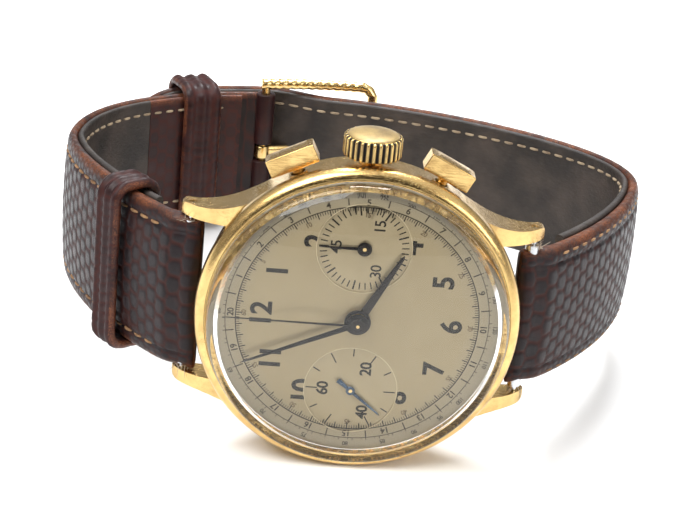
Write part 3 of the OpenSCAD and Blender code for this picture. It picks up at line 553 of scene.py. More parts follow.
# %% Thread and fibre
def fibre(name, clean, dirty, twist):
    """Spun fibre: dirt from slow noise, plies from a wave."""
    material, tree, shader = new_material(name, Roughness=0.8)
    place = on_bench(tree)
    dirt = ramp(tree, noise(tree, place, 0.9, 4.0), 0.35, 0.7)
    tree.links.new(blend(tree, dirt, clean, dirty), shader.inputs["Base Color"])
    plies = wired(tree, "ShaderNodeTexWave", {"Vector": place, "Scale": twist, "Distortion": 1.0},
                  bands_direction="DIAGONAL")
    bump(tree, shader, plies.outputs["Fac"], 0.03)
    return material


thread = fibre("thread", (0.36, 0.2, 0.09), (0.16, 0.08, 0.035), 2.2)
lining_thread = fibre("lining_thread", (0.42, 0.33, 0.22), (0.2, 0.14, 0.09), 2.2)
filler_board = fibre("filler_board", (0.45, 0.37, 0.27), (0.3, 0.22, 0.14), 0.8)
frayed = fibre("frayed_fibre", (0.5, 0.42, 0.32), (0.25, 0.18, 0.12), 1.5)

# %% [markdown]
# ## The carried-over CAD pieces
# The movement is hidden in the closed case, but it is all there, so each of its pieces takes the
# finish that its material slot names.

# %% Finishes by slot
finish_of_slot = {
    "case_gold": case_gold, "buckle_gold": buckle_gold, "crystal": crystal_glass,
    "dial": dial_champagne, "black_hands": hand_black, "blued_steel": blued_steel,
    "movement_steel": polished_steel, "wheel_brass": gilt_brass, "bridge_nickel": bridge_nickel,
    "jewel": ruby, "lizard_leather": lizard, "lining_leather": lining_skin,
    "filler": filler_board}
slot_of = {part["node"]: part["material_slot"] for part in frame["record"]["subparts"]}
for node, thing in frame["nodes"].items():
    thing.data.materials.clear()
    thing.data.materials.append(finish_of_slot[slot_of[node]])
print("finished", len(slot_of), "CAD nodes")

# %% [markdown]
# ## Case
# The band with its four lugs is soldered and filed by hand, so its edges are slightly round. A
# merged copy of the CAD node keeps its exact shape, and a Bevel modifier rounds every edge that
# turns more than about thirty degrees. The pusher caps are rounded in the same way.

# %% Softened copies
def softened(node, name, radius_mm, body="root"):
    """A merged copy of a CAD node with its edges rounded by a bevel of the given width."""
    edge_angle = math.radians(32)
    mesh = frame["nodes"][node].data.copy()
    shell = bmesh.new()
    shell.from_mesh(mesh)
    bmesh.ops.remove_doubles(shell, verts=shell.verts, dist=2e-6)
    bmesh.ops.dissolve_limit(shell, angle_limit=math.radians(0.8), verts=shell.verts,
                             edges=shell.edges)
    shell.to_mesh(mesh)
    shell.free()
    mesh.shade_smooth()
    mesh.set_sharp_from_angle(angle=edge_angle)
    piece = bpy.data.objects.new(name, mesh)
    bpy.context.scene.collection.objects.link(piece)
    rounding = piece.modifiers.new("rounded_edges", "BEVEL")
    rounding.width = radius_mm * MM
    rounding.segments = 3
    rounding.limit_method = "ANGLE"
    rounding.angle_limit = edge_angle
    rounding.harden_normals = True
    mesh.materials.clear()
    mesh.materials.append(case_gold)
    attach(piece, body)
    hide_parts(node)
    print(f"{name}: {len(mesh.polygons)} faces before its edges are rounded")


softened("case_band", "case_band_with_lugs", 0.14)
softened("start_pusher", "start_pusher_cap", 0.22, "start_pusher")
softened("reset_pusher", "reset_pusher_cap", 0.22, "reset_pusher")

# %% [markdown]
# The bezel, the back and the crystal are turned parts, so each is one profile spun round the
# dial's axis. The bezel's outer face is a quarter ellipse, and a fine seat inside it holds the
# crystal. The crystal's profile runs from the top of the dome, down its upright edge and back up
# inside, which makes a closed shell of real thickness.

# %% Bezel, back and crystal
bezel_r, seat_r, crystal_r, dome = 17.5, 15.55, 16.2, 4.4
bezel_profile = np.concatenate([
    [[bezel_r - 0.2, -0.68], [16.35, -0.68], [16.3, -0.6], [16.3, 0.1], [seat_r, 0.1],
     [seat_r, 0.4], [crystal_r, 0.4], [crystal_r, 1.0]],
    arc(16.45, 1.0, 0.25, 0.24, 180, 95, 4),
    arc(16.45, -0.05, bezel_r - 16.45, 1.3, 84, 0, 14),
    [[bezel_r, -0.5]]])
new_piece("polished_bezel", lathe(bezel_profile, 240, wrap=True), case_gold,
          stands_for=["bezel"])

back_profile = np.concatenate([
    [[0, -6.5], [13.6, -6.5], [14.2, -6.2], [14.2, -5.4], [14.7, -5.4], [14.7, -5.8],
     [15.95, -5.8]],
    arc(15.85, -5.92, 0.13, 0.1, 60, -20, 3), [[15.8, -6.3]],
    arc(14.6, -6.0, 1.1, 0.98, -20, -95, 8), [[14.3, -7.02], [14.2, -6.94], [14.1, -7.03]],
    arc(12.2, -6.4, 1.7, 1.0, -40, -90, 8), [[0, -7.4]]])
new_piece("snap_case_back", lathe(back_profile, 200), case_gold, stands_for=["case_back"])


def dome_line(top, chord, rise, steps):
    """Half of a sphere's cap as a profile: height falls as the sphere's own circle does."""
    sphere = (chord ** 2 + rise ** 2) / (2 * rise)
    r = np.linspace(0, chord, steps)
    return np.stack([r, top - sphere + np.sqrt(sphere ** 2 - r ** 2)], -1)


crystal_profile = np.concatenate([
    dome_line(dome, 15.4, dome - 2.85, 26), arc(15.4, 1.9, 0.8, 0.95, 80, 0, 8),
    [[crystal_r, 0.4], [15.3, 0.4], [15.3, 1.75]], dome_line(3.45, 14.9, 1.25, 24)[::-1]])
new_piece("domed_crystal", lathe(crystal_profile, 200), crystal_glass,
          stands_for=["crystal"])

# %% [markdown]
# The crown is fluted: its radius is the turned profile less a groove that comes round 28 times.
# Grime has filled the flutes black, so the mesh also carries how deep each point lies, and the
# crown's own gold mixes towards black there. The same mark puts a fixed share of painted shade on
# the domed end.

# %% Fluted crown
crown_gold, tree, shader = new_material("crown_gold")
grime_and_end_shade = wired(tree, "ShaderNodeAttribute", attribute_name="depth").outputs["Fac"]
wear = place_group(tree, worn_metal, {"Place": on_bench(tree), "Scratches": 0.6,
                                      "Tarnish": 0.8})
# painted shade on the domed end and grime in the flutes: this mask mixes the gold towards black
grime = ramp(tree, grime_and_end_shade, 0.12, 0.55)
worn_tone = blend(tree, wear.outputs["Patina"], (0.74, 0.52, 0.2), (0.2, 0.13, 0.07))
tree.links.new(blend(tree, grime, worn_tone, (0.012, 0.009, 0.008)), shader.inputs["Base Color"])
tree.links.new(math_node(tree, "SUBTRACTc", 1.0, grime), shader.inputs["Metallic"])
tree.links.new(math_node(tree, "ADDc", math_node(tree, "MULTIPLY", grime, 0.4), 0.22),
               shader.inputs["Roughness"])
bump(tree, shader, wear.outputs["Height"], 0.01)

crown_r, crown_in, crown_out, stem_depth = 3.15, 17.8, 20.0, 2.9
grips, groove_deep = 28, 0.32
crown_profile = np.concatenate([
    [[0, 19.9], [0.5, 19.9], [0.5, 19.0], [1.35, 19.0], [1.35, crown_in], [2.7, crown_in]],
    arc(crown_r - 0.25, crown_in + 0.25, 0.25, 0.25, -80, 0, 4),
    np.stack([np.full(9, crown_r), np.linspace(crown_in + 0.4, crown_out - 0.35, 9)], -1),
    arc(crown_r - 0.3, crown_out - 0.25, 0.3, 0.25, 10, 80, 4),
    arc(0, crown_out - 0.02, 2.75, 0.5, 0, 90, 12)])
angles = np.linspace(0, 2 * np.pi, grips * 12, endpoint=False)
height = crown_profile[:, 1:]
on_side = ((crown_profile[:, :1] > 2.8) & (height > crown_in)).astype(float)
groove = (0.5 - 0.5 * np.cos(grips * angles)) ** 1.6 * on_side
radius = crown_profile[:, :1] - groove_deep * groove
crown_grid = np.stack([radius * np.cos(angles), radius * np.sin(angles), height + 0 * angles], -1)
# the depth mark: each flute's depth for its grime, and a fixed 0.3 of painted shade on the domed end
new_piece("fluted_crown", on_spoke(surface(crown_grid, wrap_cols=True), 90, stem_depth),
          crown_gold, "crown",
          marks={"depth": np.maximum(groove, 0.3 * (height > crown_out + 0.1))},
          stands_for=["crown"])

# %% [markdown]
# ## Dial printing
# Ticks, rings and numerals are pad-printed films of ink. Each tick is a thin block between two
# radii, and all ticks of one scale are one array. Numerals are generic upright figures from the
# built-in typeface, thickened by an offset and turned into mesh before they are placed.

# %% Ticks and rings
FILM = np.array([-0.01, 0.014])       # a film of ink reaches this far into and over its face


def ticks(degrees, inner, outer, wide, centre=(0, 0), face_z=0.0):
    """One block per clock angle: corners at two radii, two sides and two heights."""
    along = clock(np.atleast_1d(degrees))[:, None, None, None, :]
    side = np.stack([-along[..., 1], along[..., 0]], -1)
    r = np.array([inner, outer])[None, :, None, None, None]
    s = np.array([-wide / 2, wide / 2])[None, None, :, None, None]
    flat = np.array(centre) + along * r + side * s
    flat = np.broadcast_to(flat, (len(along), 2, 2, 2, 2))
    z = np.broadcast_to((face_z + FILM)[None, None, None, :, None], flat.shape[:-1] + (1,))
    box = np.array([[0, 1, 3, 2], [4, 6, 7, 5], [0, 4, 5, 1], [2, 3, 7, 6], [0, 2, 6, 4],
                    [1, 5, 7, 3]])
    quads = (np.arange(len(along))[:, None, None] * 8 + box).reshape(-1, 4)
    return np.concatenate([flat, z], -1).reshape(-1, 3), quads


def ring(radius, wide):
    """A flat printed circle round the dial's centre."""
    inner, outer = radius - wide / 2, radius + wide / 2
    return lathe([[inner, FILM[0]], [outer, FILM[0]], [outer, FILM[1]], [inner, FILM[1]]], 240,
                 wrap=True)


register_y, register_r, sunk = 8.3, 5.05, -0.12
counter, seconds = (0, register_y), (0, -register_y)
fifths = np.arange(300) * 1.2
minutes = np.arange(60) * 6.0
track_r, scale_r = 13.0, 14.1
black_marks = together([
    ring(track_r, 0.1), ticks(fifths[np.arange(300) % 5 != 0], track_r - 0.42, track_r, 0.07),
    ticks(minutes, track_r - 0.7, track_r, 0.11),
    ticks(np.arange(0, 360, 8)[np.arange(45) % 5 != 0], 3.95, 4.72, 0.12, counter, sunk),
    ticks(np.arange(0, 360, 40), 3.75, 4.8, 0.17, counter, sunk),
    ticks(np.arange(30, 360, 60), 4.0, 4.85, 0.13, seconds, sunk),
    ticks(np.arange(0, 360, 60), 3.6, 4.85, 0.13, seconds, sunk)])
new_piece("track_marks", black_marks, black_ink)
bars = np.arange(20) * 18.0 + 9
outer_ticks = np.arange(60) * 6.0 + 3
outer_marks = together([ring(scale_r, 0.075), ticks(bars, track_r + 0.25, scale_r, 0.13),
                        ticks(outer_ticks, scale_r, scale_r + 0.32, 0.075),
                        ticks(outer_ticks + 2, scale_r, scale_r + 0.22, 0.06)])
new_piece("outer_scale_marks", outer_marks, scale_ink)

# %% Numerals
DIGIT_HEIGHT = 0.73       # height of a figure in a typeface of size 1


def numerals(name, figures, ink_material, cut=()):
    """Figures as (text, height, place, up, extra stroke, height of the face they lie on)."""
    written = []
    for text, tall, at, facing, bold, face_z in figures:
        font = bpy.data.curves.new("figure", "FONT")
        font.body, font.align_x, font.align_y = text, "CENTER", "CENTER"
        font.size = tall / DIGIT_HEIGHT
        font.space_character = 0.92
        font.offset, font.extrude, font.resolution_u = bold, 0.012, 3
        made = bpy.data.objects.new("figure", font)
        bpy.context.scene.collection.objects.link(made)
        written.append((made, at, facing, face_z))
    bpy.context.view_layer.update()
    graph = bpy.context.evaluated_depsgraph_get()
    shell = bmesh.new()
    for made, at, facing, face_z in written:
        mesh = bpy.data.meshes.new_from_object(made.evaluated_get(graph))
        axes = np.array([[facing[1], -facing[0], 0], [*facing, 0], [0, 0, 1]]) @ bench * MM
        placed = np.eye(4)
        placed[:3, :3] = axes.T
        placed[:3, 3] = to_row([*at, face_z])
        mesh.transform(Matrix(placed.tolist()))
        shell.from_mesh(mesh)
        bpy.data.meshes.remove(mesh)
        bpy.data.objects.remove(made)
    bmesh.ops.remove_doubles(shell, verts=shell.verts, dist=5e-7)
    bmesh.ops.recalc_face_normals(shell, faces=shell.faces)
    mesh = bpy.data.meshes.new(name)
    shell.to_mesh(mesh)
    shell.free()
    piece = bpy.data.objects.new(name, mesh)
    bpy.context.scene.collection.objects.link(piece)
    for centre in cut:
        disc = [[0, -0.5], [register_r, -0.5], [register_r, 0.5], [0, 0.5]]
        points, quads = moved(lathe(disc, 96), *centre)
        tool_mesh = bpy.data.meshes.new("cutter")
        tool_mesh.from_pydata(to_row(points).tolist(), [], quads.tolist())
        tool = bpy.data.objects.new("cutter", tool_mesh)
        bpy.context.scene.collection.objects.link(tool)
        cutting = piece.modifiers.new("register_cut", "BOOLEAN")
        cutting.operation, cutting.object, cutting.solver = "DIFFERENCE", tool, "EXACT"
        bpy.context.view_layer.update()
        graph = bpy.context.evaluated_depsgraph_get()
        result = bpy.data.meshes.new_from_object(piece.evaluated_get(graph))
        piece.modifiers.clear()
        piece.data = result
        bpy.data.objects.remove(tool)
    piece.data.materials.clear()
    piece.data.materials.append(ink_material)
    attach(piece, "root")
    print(f"{name}: {len(figures)} figures, {len(piece.data.polygons)} faces")


def around(radius, degrees, centre=(0, 0)):
    """A place at a clock angle round a centre."""
    return np.array(centre) + radius * clock(degrees)


upright = (-1, 0)
hours = [12, 1, 2, 4, 5, 6, 7, 8, 10, 11]
numerals("hour_numerals", [(str(hour), 2.3, around(10.2, 30 * hour), upright, 0.085, 0)
                           for hour in hours], black_ink, cut=(counter, seconds))
numerals("register_numerals",
         [(text, 1.2, around(2.95, angle, counter), upright, 0.02, sunk)
          for text, angle in (("45", 0), ("15", 120), ("30", 240))]
         + [(text, 1.25, around(3.0, angle, seconds), upright, 0.04, sunk)
            for text, angle in (("60", 0), ("20", 120), ("40", 240))], black_ink)
numerals("scale_numerals", [(str(n), 0.72, around(13.52, 18 * n), tuple(clock(18 * n)), 0.022, 0)
                            for n in range(1, 21)], scale_ink)
numerals("minute_numerals", [(str(n), 0.55, around(12.1, 6 * n), tuple(clock(6 * n)), 0.012, 0)
                             for n in range(5, 61, 5)], faint_ink)
speeds = [500, 400, 350, 300, 275, 250, 225, 200, 180, 160, 150, 140, 130, 120, 110, 100, 95, 90,
          85, 80, 75, 70, 65, 60]
numerals("speed_numerals", [(str(v), 0.5, around(14.8, 360 * 60 / v),
                             tuple(clock(360 * 60 / v)), 0.012, 0) for v in speeds], scale_ink)

# %% [markdown]
# A sunk register has a bright bevelled edge where the cutter met the dial, and its floor is
# snailed: turned with closely spaced circles. The edge is a small half-round ring, and the
# snailing is a bump that follows the sine of the distance from the register's centre.

# %% Registers
snailed, tree, shader = new_material("snailed_register", Metallic=0.5)
place = on_bench(tree)
over = wired(tree, "ShaderNodeVectorMath", {0: place}, operation="ABSOLUTE").outputs["Vector"]
reach = wired(tree, "ShaderNodeVectorMath", {0: over, 1: (0, register_y, 0.12)},
              operation="DISTANCE").outputs["Value"]
circles = math_node(tree, "SINE", math_node(tree, "MULTIPLY", reach, 40.0))
clouds = noise(tree, place, 0.5, 4.0)
tree.links.new(blend(tree, clouds, (0.285, 0.228, 0.135), (0.36, 0.295, 0.185)),
               shader.inputs["Base Color"])
tree.links.new(math_node(tree, "ADD", math_node(tree, "MULTIPLY", circles, 0.05), 0.36),
               shader.inputs["Roughness"])
bump(tree, shader, math_node(tree, "ADD", math_node(tree, "MULTIPLY", circles, 0.5), 0.5), 0.003)
register_edge = metal("register_edge", (0.5, 0.42, 0.28), (0.3, 0.24, 0.15), 0.3, 0.2, 0.4)
floor_profile = [[0.3, sunk - 0.02], [0.3, sunk], [4.98, sunk], [4.98, sunk - 0.02]]
edge_profile = np.concatenate([arc(register_r, 0.0, 0.05, 0.02, 180, 0, 6),
                               [[register_r, -0.05]]])
for name, centre in (("counter_register", counter), ("seconds_register", seconds)):
    new_piece(name + "_floor", moved(lathe(floor_profile, 180, wrap=True), *centre), snailed)
    new_piece(name + "_edge", moved(lathe(edge_profile, 180, wrap=True), *centre), register_edge)

# %% [markdown]
# ## Hands
# A hand is stamped from thin steel and its blade is folded along the middle, so that half of it
# always catches the light. Its grid runs along the blade and round a five-sided section, and the
# end rows shrink to points, which closes it. The hubs are turned, one stepped above the other.

# %% Blades and hubs
def blade(length, root, tip, start, z, thick, steps=24):
    """Width eases from root to tip along the length; the middle stands higher than the edges."""
    s = np.linspace(0, 1, steps)[:, None]
    half = mix(root, tip, s ** 1.4) / 2
    half = half * np.sqrt(np.clip((1 - s) / 0.02, 0, 1))
    across = np.array([-1, -1, 0, 1, 1, 0])
    lift = np.array([0, 0.45, 1.0, 0.45, 0, 0])
    x = np.broadcast_to(start + (length - start) * s, (steps, 6))
    grid = np.stack([x, half * across, z + thick * lift * np.ones_like(s)], -1)
    caps = grid[[0, -1]].mean(1, keepdims=True) + np.zeros((1, 6, 1))
    return surface(np.concatenate([caps[:1], grid, caps[1:]]), wrap_cols=True)


hour_angle, minute_angle, seconds_angle = 118.0, 336.0, 219.0
new_piece("hour_hand_blade", together([
    turned(blade(9.1, 0.95, 0.32, 0.9, 0.45, 0.17), 180 - hour_angle),
    lathe([[1.1, 0.45], [1.42, 0.45], [1.42, 0.58], [1.36, 0.62], [1.1, 0.62]], 72, wrap=True)]),
    hand_black, "hour_hand", stands_for=["hour_hand"])
new_piece("minute_hand_blade", together([
    turned(blade(13.3, 0.58, 0.2, 0.8, 0.97, 0.15), 180 - minute_angle),
    lathe([[0.72, 0.97], [1.15, 0.97], [1.15, 1.08], [1.09, 1.12], [0.72, 1.12]], 72,
          wrap=True)]), hand_black, "minute_hand", stands_for=["minute_hand"])
new_piece("sweep_hand_blade", together([
    turned(blade(14.4, 0.24, 0.1, 0.3, 1.42, 0.13), 180),
    lathe([[0.18, 1.42], [0.8, 1.42], [0.8, 1.5], [0.75, 1.55], [0.42, 1.55], [0.36, 1.6],
           [0.18, 1.6]], 72, wrap=True)]),
    hand_black, "chronograph_runner", stands_for=["sweep_seconds_hand"])
new_piece("minute_counter_blade", moved(together([
    turned(blade(4.8, 0.34, 0.14, 0.2, 0.12, 0.12), 180),
    lathe([[0.2, 0.12], [0.78, 0.12], [0.78, 0.2], [0.68, 0.26], [0.2, 0.26]], 60, wrap=True)]),
    *counter), hand_black, "minute_counter", stands_for=["minute_counter_hand"])
paddle = blade(1.9, 0.34, 0.62, 0.2, 0.12, 0.12)
new_piece("small_seconds_blade", moved(together([
    turned(blade(4.4, 0.36, 0.12, 0.2, 0.12, 0.12), 180 - seconds_angle),
    turned(paddle, -seconds_angle),
    lathe([[0.2, 0.12], [0.5, 0.12], [0.5, 0.2], [0.44, 0.26], [0.2, 0.26]], 48, wrap=True)]),
    *seconds), blued_steel, "fourth_wheel", stands_for=["small_seconds_hand"])

# %% [markdown]
# ## Strap
# The two strap halves follow one loop: flattened flanks leave the lugs like a superellipse, and
# behind them half an ellipse leans towards the 12 o'clock side. A point on a strap is given by
# the angle round the loop, the height over the loop's line, and the distance from its middle.

# %% The loop
loop_a, loop_mid, loop_back, loop_lean, flank = 33.4, 29.4, 21.4, 4.0, 1.3
bar_x, bar_depth, pin_x = 18.4, 4.3, -11.0
bar_t = math.degrees(math.asin((bar_x / loop_a) ** (1 / flank)))
loop_front = (loop_mid - bar_depth) / math.cos(math.radians(bar_t)) ** flank
pin_t = 180 + math.degrees(math.asin(-pin_x / loop_a))
tip_t, lining_gap, lug_half = 232.0, 0.35, 8.9


def loop(t):
    """In front, powers of sine and cosine; behind, an ellipse whose depth leans with x."""
    s, c = np.sin(np.radians(t)), np.cos(np.radians(t))
    front = [loop_a * np.sign(s) * np.abs(s) ** flank,
             loop_front * np.maximum(c, 0) ** flank - loop_mid]
    back = [loop_a * s, loop_back * c - loop_mid - loop_lean * s * c]
    return np.where(c[..., None] > 0, np.stack(front, -1), np.stack(back, -1))


def loop_out(t):
    """The loop's outward direction, square to its line."""
    s, c = np.sin(np.radians(t)), np.cos(np.radians(t))
    front = [loop_front * np.sign(s) * np.abs(s) ** (2 - flank),
             loop_a * np.maximum(c, 0) ** (2 - flank)]
    back = [loop_back * s + loop_lean * np.cos(np.radians(2 * t)), loop_a * c]
    out = np.where(c[..., None] > 0, np.stack(front, -1), np.stack(back, -1))
    return out / np.linalg.norm(out, axis=-1, keepdims=True)


def strap_point(t, height, y):
    """The loop's point, pushed out by the height, at a distance y from the middle."""
    t, height, y = np.broadcast_arrays(np.asarray(t, float), height, y)
    flat = loop(t) + height[..., None] * loop_out(t)
    return np.stack([flat[..., 0], y, flat[..., 1]], -1)


def padding(t):
    """1 at the lugs, where the strap is filled, and 0 a quarter of the loop later."""
    return 1 - ease((np.abs(t) - bar_t) / 62)


def overlap(t):
    """How far the tail rises over the buckle end."""
    return 2.62 * ease((t - 184) / 15)


def half_width(t):
    """Half of the strap's width: a straight taper on the depth behind the dial."""
    return np.interp(loop(t)[..., 1], [-46, -16], [8.0, lug_half])


def skin_top(t):
    """How high the skin stands over the loop's line, filled at the lugs and thin behind."""
    return mix(1.0, 2.2, padding(t))


def lining_depth(t):
    """How far the lining lies under the loop's line."""
    return mix(1.0, 1.35, padding(t))


def crowning(t):
    """How much lower the skin is at its edge than in its middle."""
    return 0.35 + 0.35 * padding(t)


fine_t = np.linspace(-180, 240, 4201)
steps_mm = np.linalg.norm(np.diff(loop(fine_t) + 1.0 * loop_out(fine_t), axis=0), axis=1)
run_mm = np.concatenate([[0], np.cumsum(steps_mm)])


def run_of(t):
    """Millimetres along the strap's outside at an angle."""
    return np.interp(t, fine_t, run_mm)


def t_of(run):
    """The angle at so many millimetres along."""
    return np.interp(run, run_mm, fine_t)


print("strap lengths:", round(float(run_of(-bar_t) - run_of(pin_t - 358)), 1), "and",
      round(float(run_of(tip_t) - run_of(bar_t)), 1), "mm")

# %% [markdown]
# The scales are a Voronoi mosaic on a brick lattice with a little disorder: a point belongs to
# the nearest seed, and the gap to the second nearest says how far it is from the seam. Along the
# folded edges the skin is stretched, so the scales there are smaller. Nine neighbouring seeds
# are enough, and each is tried for all points at once.

# %% Scale mosaic
def chance(row, col, kind):
    """A fixed number from 0 to 1 for each cell: the fraction of a large sine."""
    return np.modf(np.abs(np.sin(row * 12.9898 + col * 78.233 + kind * 37.719)) * 43758.5453)[0]


def mosaic(along, across, pitch_along, pitch_across):
    """(second distance - first distance) to the seeds, and the first seed's own number."""
    u, v = along / pitch_along, across / pitch_across
    first, second, tone = np.full(u.shape, 9.0), np.full(u.shape, 9.0), np.zeros(u.shape)
    for row in (np.round(u) + step for step in (-1, 0, 1)):
        shift = 0.5 * (row % 2)
        for col in (np.round(v - shift) + step for step in (-1, 0, 1)):
            away = np.hypot(1.15 * (u - row - 0.2 * (chance(row, col, 1) - 0.5)),
                            v - col - shift - 0.24 * (chance(row, col, 2) - 0.5))
            closer = away < first
            second = np.where(closer, first, np.minimum(second, away))
            tone = np.where(closer, chance(row, col, 3), tone)
            first = np.where(closer, away, first)
    return second - first, tone


# %% [markdown]
# A strap half is skin folded round a filler: its section is a flat-bottomed oval whose top is a
# little crowned, with a groove where the thread pulls it down. The section is listed once, as
# how far out, how far round the fold and how high each of its points lies, and every row of the
# grid stretches it to the strap's width and thickness there.

# %% Strap halves
stitch_in = 1.75          # from the strap's edge to its line of stitches


def section(top_steps, fold_steps, bottom_steps):
    """The closed section as three lists: flat share, fold share and height share, -1 to 1."""
    fold = np.radians(np.linspace(0, 90, fold_steps + 1))[1:]
    flat = np.linspace(-1, 1, top_steps)
    under = np.linspace(1, -1, bottom_steps)[1:-1]
    one, none = np.ones_like(fold), np.zeros_like
    a = np.concatenate([flat, one, one, under, -one, -one[:-1]])
    b = np.concatenate([none(flat), np.sin(fold), np.cos(fold), none(under),
                        -np.cos(fold[::-1]), -np.sin(fold[::-1])[1:]])
    h = np.concatenate([none(flat) + 1, np.cos(fold), -np.sin(fold), none(under) - 1,
                        -np.sin(fold[::-1]), np.cos(fold[::-1])[1:]])
    return a, b, h


def strap_skin(t, low, high, width, crown, relief, fold_r, columns, holes=()):
    """The grid of a strap half, with its marks: scale, tone and fold."""
    a, b, h = section(*columns)
    t, low, high, width = (np.asarray(v, float)[:, None] * np.ones(1) for v in
                           (t, low + 0 * t, high + 0 * t, width + 0 * t))
    fold = np.minimum(fold_r, width)
    y = a * (width - fold) + b * fold
    middle = (low + high) / 2
    height = middle + h * (high - low) / 2
    along, top = run_of(t) + 0 * y, np.clip(h, 0, 1) + 0 * y
    inner, inner_tone = mosaic(along, y, 1.45, 1.95)
    outer, outer_tone = mosaic(along, np.abs(y) + (1 - h) * 0.8, 0.95, 1.0)
    at_edge = np.abs(y) > width - stitch_in
    inside = np.where(at_edge, outer, inner)
    tone = np.where(at_edge, outer_tone, inner_tone)
    raised = 1 - (1 - np.clip(inside / 0.42, 0, 1)) ** 2
    thread_line = np.exp(-((np.abs(y) - (width - stitch_in)) / 0.22) ** 2)
    height = height - top * (crown(t) * (y / lug_half) ** 2 + 0.2 * thread_line)
    height = height + (np.where(at_edge, 0.6, 1.0) * relief * raised - 0.5 * relief) * top ** 0.5
    for hole_run in holes:
        away = np.hypot(along - hole_run, y)
        height = np.where((away < 0.95) & (h > 0), np.minimum(height, low + 0.12), height)
    grid = strap_point(t + 0 * y, height, y)
    middles = strap_point(t[[0, -1]], middle[[0, -1]], 0 * y[[0, -1]] + 0 * a)
    grid = np.concatenate([middles[:1], grid, middles[1:]])
    folded = np.clip((np.abs(y) - (width - 0.9)) / 0.7, 0, 1)
    marks = {key: np.concatenate([v[:1], v, v[-1:]]) for key, v in
             (("scale", inside), ("tone", tone), ("fold", folded))}
    return surface(grid, wrap_cols=True), marks


def rows_between(start, stop, step_mm):
    """Angles at even steps along the strap."""
    run = np.linspace(run_of(start), run_of(stop),
                      int(abs(run_of(stop) - run_of(start)) / step_mm))
    return t_of(run)


nose_r = 1.42             # the fold of skin round a spring bar


def past_bar(t):
    """Millimetres along the strap beyond its spring bar; negative in front of it."""
    return np.where(t > 0, run_of(t) - run_of(bar_t), run_of(-bar_t) - run_of(t))


def skin_low(t):
    """The skin's underside: round the bar in front of it, then up to the lining."""
    past = past_bar(t)
    nose = np.sqrt(np.clip(nose_r ** 2 - np.minimum(past, 0) ** 2, 0, None))
    return -mix(nose, lining_gap, ease((past - 0.5) / 3))


def skin_high(t):
    """The skin's upper side: round the bar, then up over the filler and down again."""
    past = past_bar(t)
    nose = np.sqrt(np.clip(nose_r ** 2 - np.minimum(past, 0) ** 2, 0, None))
    return mix(nose, skin_top(t), ease((past + 0.3) / 2.2))


def nose_rows(side):
    """Angles from the front of the fold to just past the bar, closer together in front."""
    past = -nose_r * np.cos(np.radians(np.linspace(4, 90, 12)))
    return t_of(run_of(side * bar_t) + side * past)


tip_r = 7.9
tip_run = run_of(tip_t - 13)


def tail_width(t):
    """The taper, then a half circle that rounds the tip."""
    past = np.clip((run_of(t) - tip_run) / tip_r, 0, 1)
    return np.minimum(half_width(t), tip_r * np.sqrt(np.clip(1 - past ** 2, 0, 1)) + 0.02)


hole_runs = run_of(191) - 0.9 + np.arange(-3, 3) * 6.5
scale_relief, fold_width = 0.13, 0.9
buckle_t = np.concatenate([nose_rows(-1), rows_between(-bar_t - 0.3, pin_t - 358, 0.23)])
part, marks = strap_skin(buckle_t, skin_low(buckle_t), skin_high(buckle_t),
                         half_width(buckle_t), crowning, scale_relief, fold_width, (84, 6, 12))
new_piece("buckle_side_skin", part, lizard, marks=marks, sharp=70,
          stands_for=["buckle_side_leather"])
tail_rows = np.concatenate([nose_rows(1), rows_between(bar_t + 0.3, tip_t - 13, 0.24)])
tip_rows = t_of(tip_run + tip_r * np.sin(np.radians(np.linspace(1.5, 90, 40))))
tail_t = np.concatenate([tail_rows, tip_rows])
part, marks = strap_skin(tail_t, overlap(tail_t) + skin_low(tail_t),
                         overlap(tail_t) + skin_high(tail_t), tail_width(tail_t), crowning,
                         scale_relief, fold_width, (84, 6, 12), hole_runs)
new_piece("tail_side_skin", part, lizard, marks=marks, sharp=70,
          stands_for=["tail_side_leather"])


# %% [markdown]
# The lining is thin plain calf between the filler and the wrist. At the buckle the outer skin is
# turned back over the pin and glued down on the inside, so a red flap shows there and the lining
# stops at it. Round the pin the same skin makes two short tubes, with the tongue between them.
# Where the strap rubs on the lugs its edge is frayed: a few bent fibres stand out of each corner.

# %% Lining, turned-back ends and frayed corners
def level(t):
    """No crown: the lining is flat across."""
    return 0.0 * t


def lining_part(t, rise, width):
    """The lining: plain skin between the filler and the wrist."""
    return strap_skin(t, rise - lining_depth(t), rise - lining_gap, width, level, 0.0, 0.35,
                      (24, 3, 30))[0]


flap_t = pin_t - 328      # where the skin folded back over the pin is cut off
lining_t = rows_between(-bar_t - 9, flap_t, 0.6)
part = lining_part(lining_t, 0 * lining_t, half_width(lining_t) - 0.12)
new_piece("buckle_side_lining_skin", part, lining_skin, sharp=70,
          stands_for=["buckle_side_lining"])
flap_rows = rows_between(flap_t, pin_t - 354, 0.25)
part, marks = strap_skin(flap_rows, -1.06 + 0 * flap_rows, -lining_gap, half_width(flap_rows)
                         - 0.12, level, 0.0, 0.35, (60, 3, 80))
new_piece("turned_back_flap", part, red_lizard, marks=marks, sharp=70)
lining_t = np.concatenate([rows_between(bar_t + 9, tip_t - 13, 0.6), tip_rows])
part = lining_part(lining_t, overlap(lining_t), tail_width(lining_t) * 0.985)
new_piece("tail_side_lining_skin", part, lining_skin, sharp=70,
          stands_for=["tail_side_lining"])


def crosswise(part, x, z, y=0):
    """A turned part laid across the strap, at a place in the side view."""
    px, py, pz = part[0].T
    return np.stack([px + x, pz + y, py + z], -1), part[1]


def sleeve(outer, inner, half):
    """A tube folded round a bar, with softened rims."""
    rim = 0.2
    return np.concatenate([arc(outer - rim, half - rim, rim, rim, 0, 90, 4),
                           [[inner, half], [inner, -half]],
                           arc(outer - rim, -half + rim, rim, rim, -90, 0, 4)])


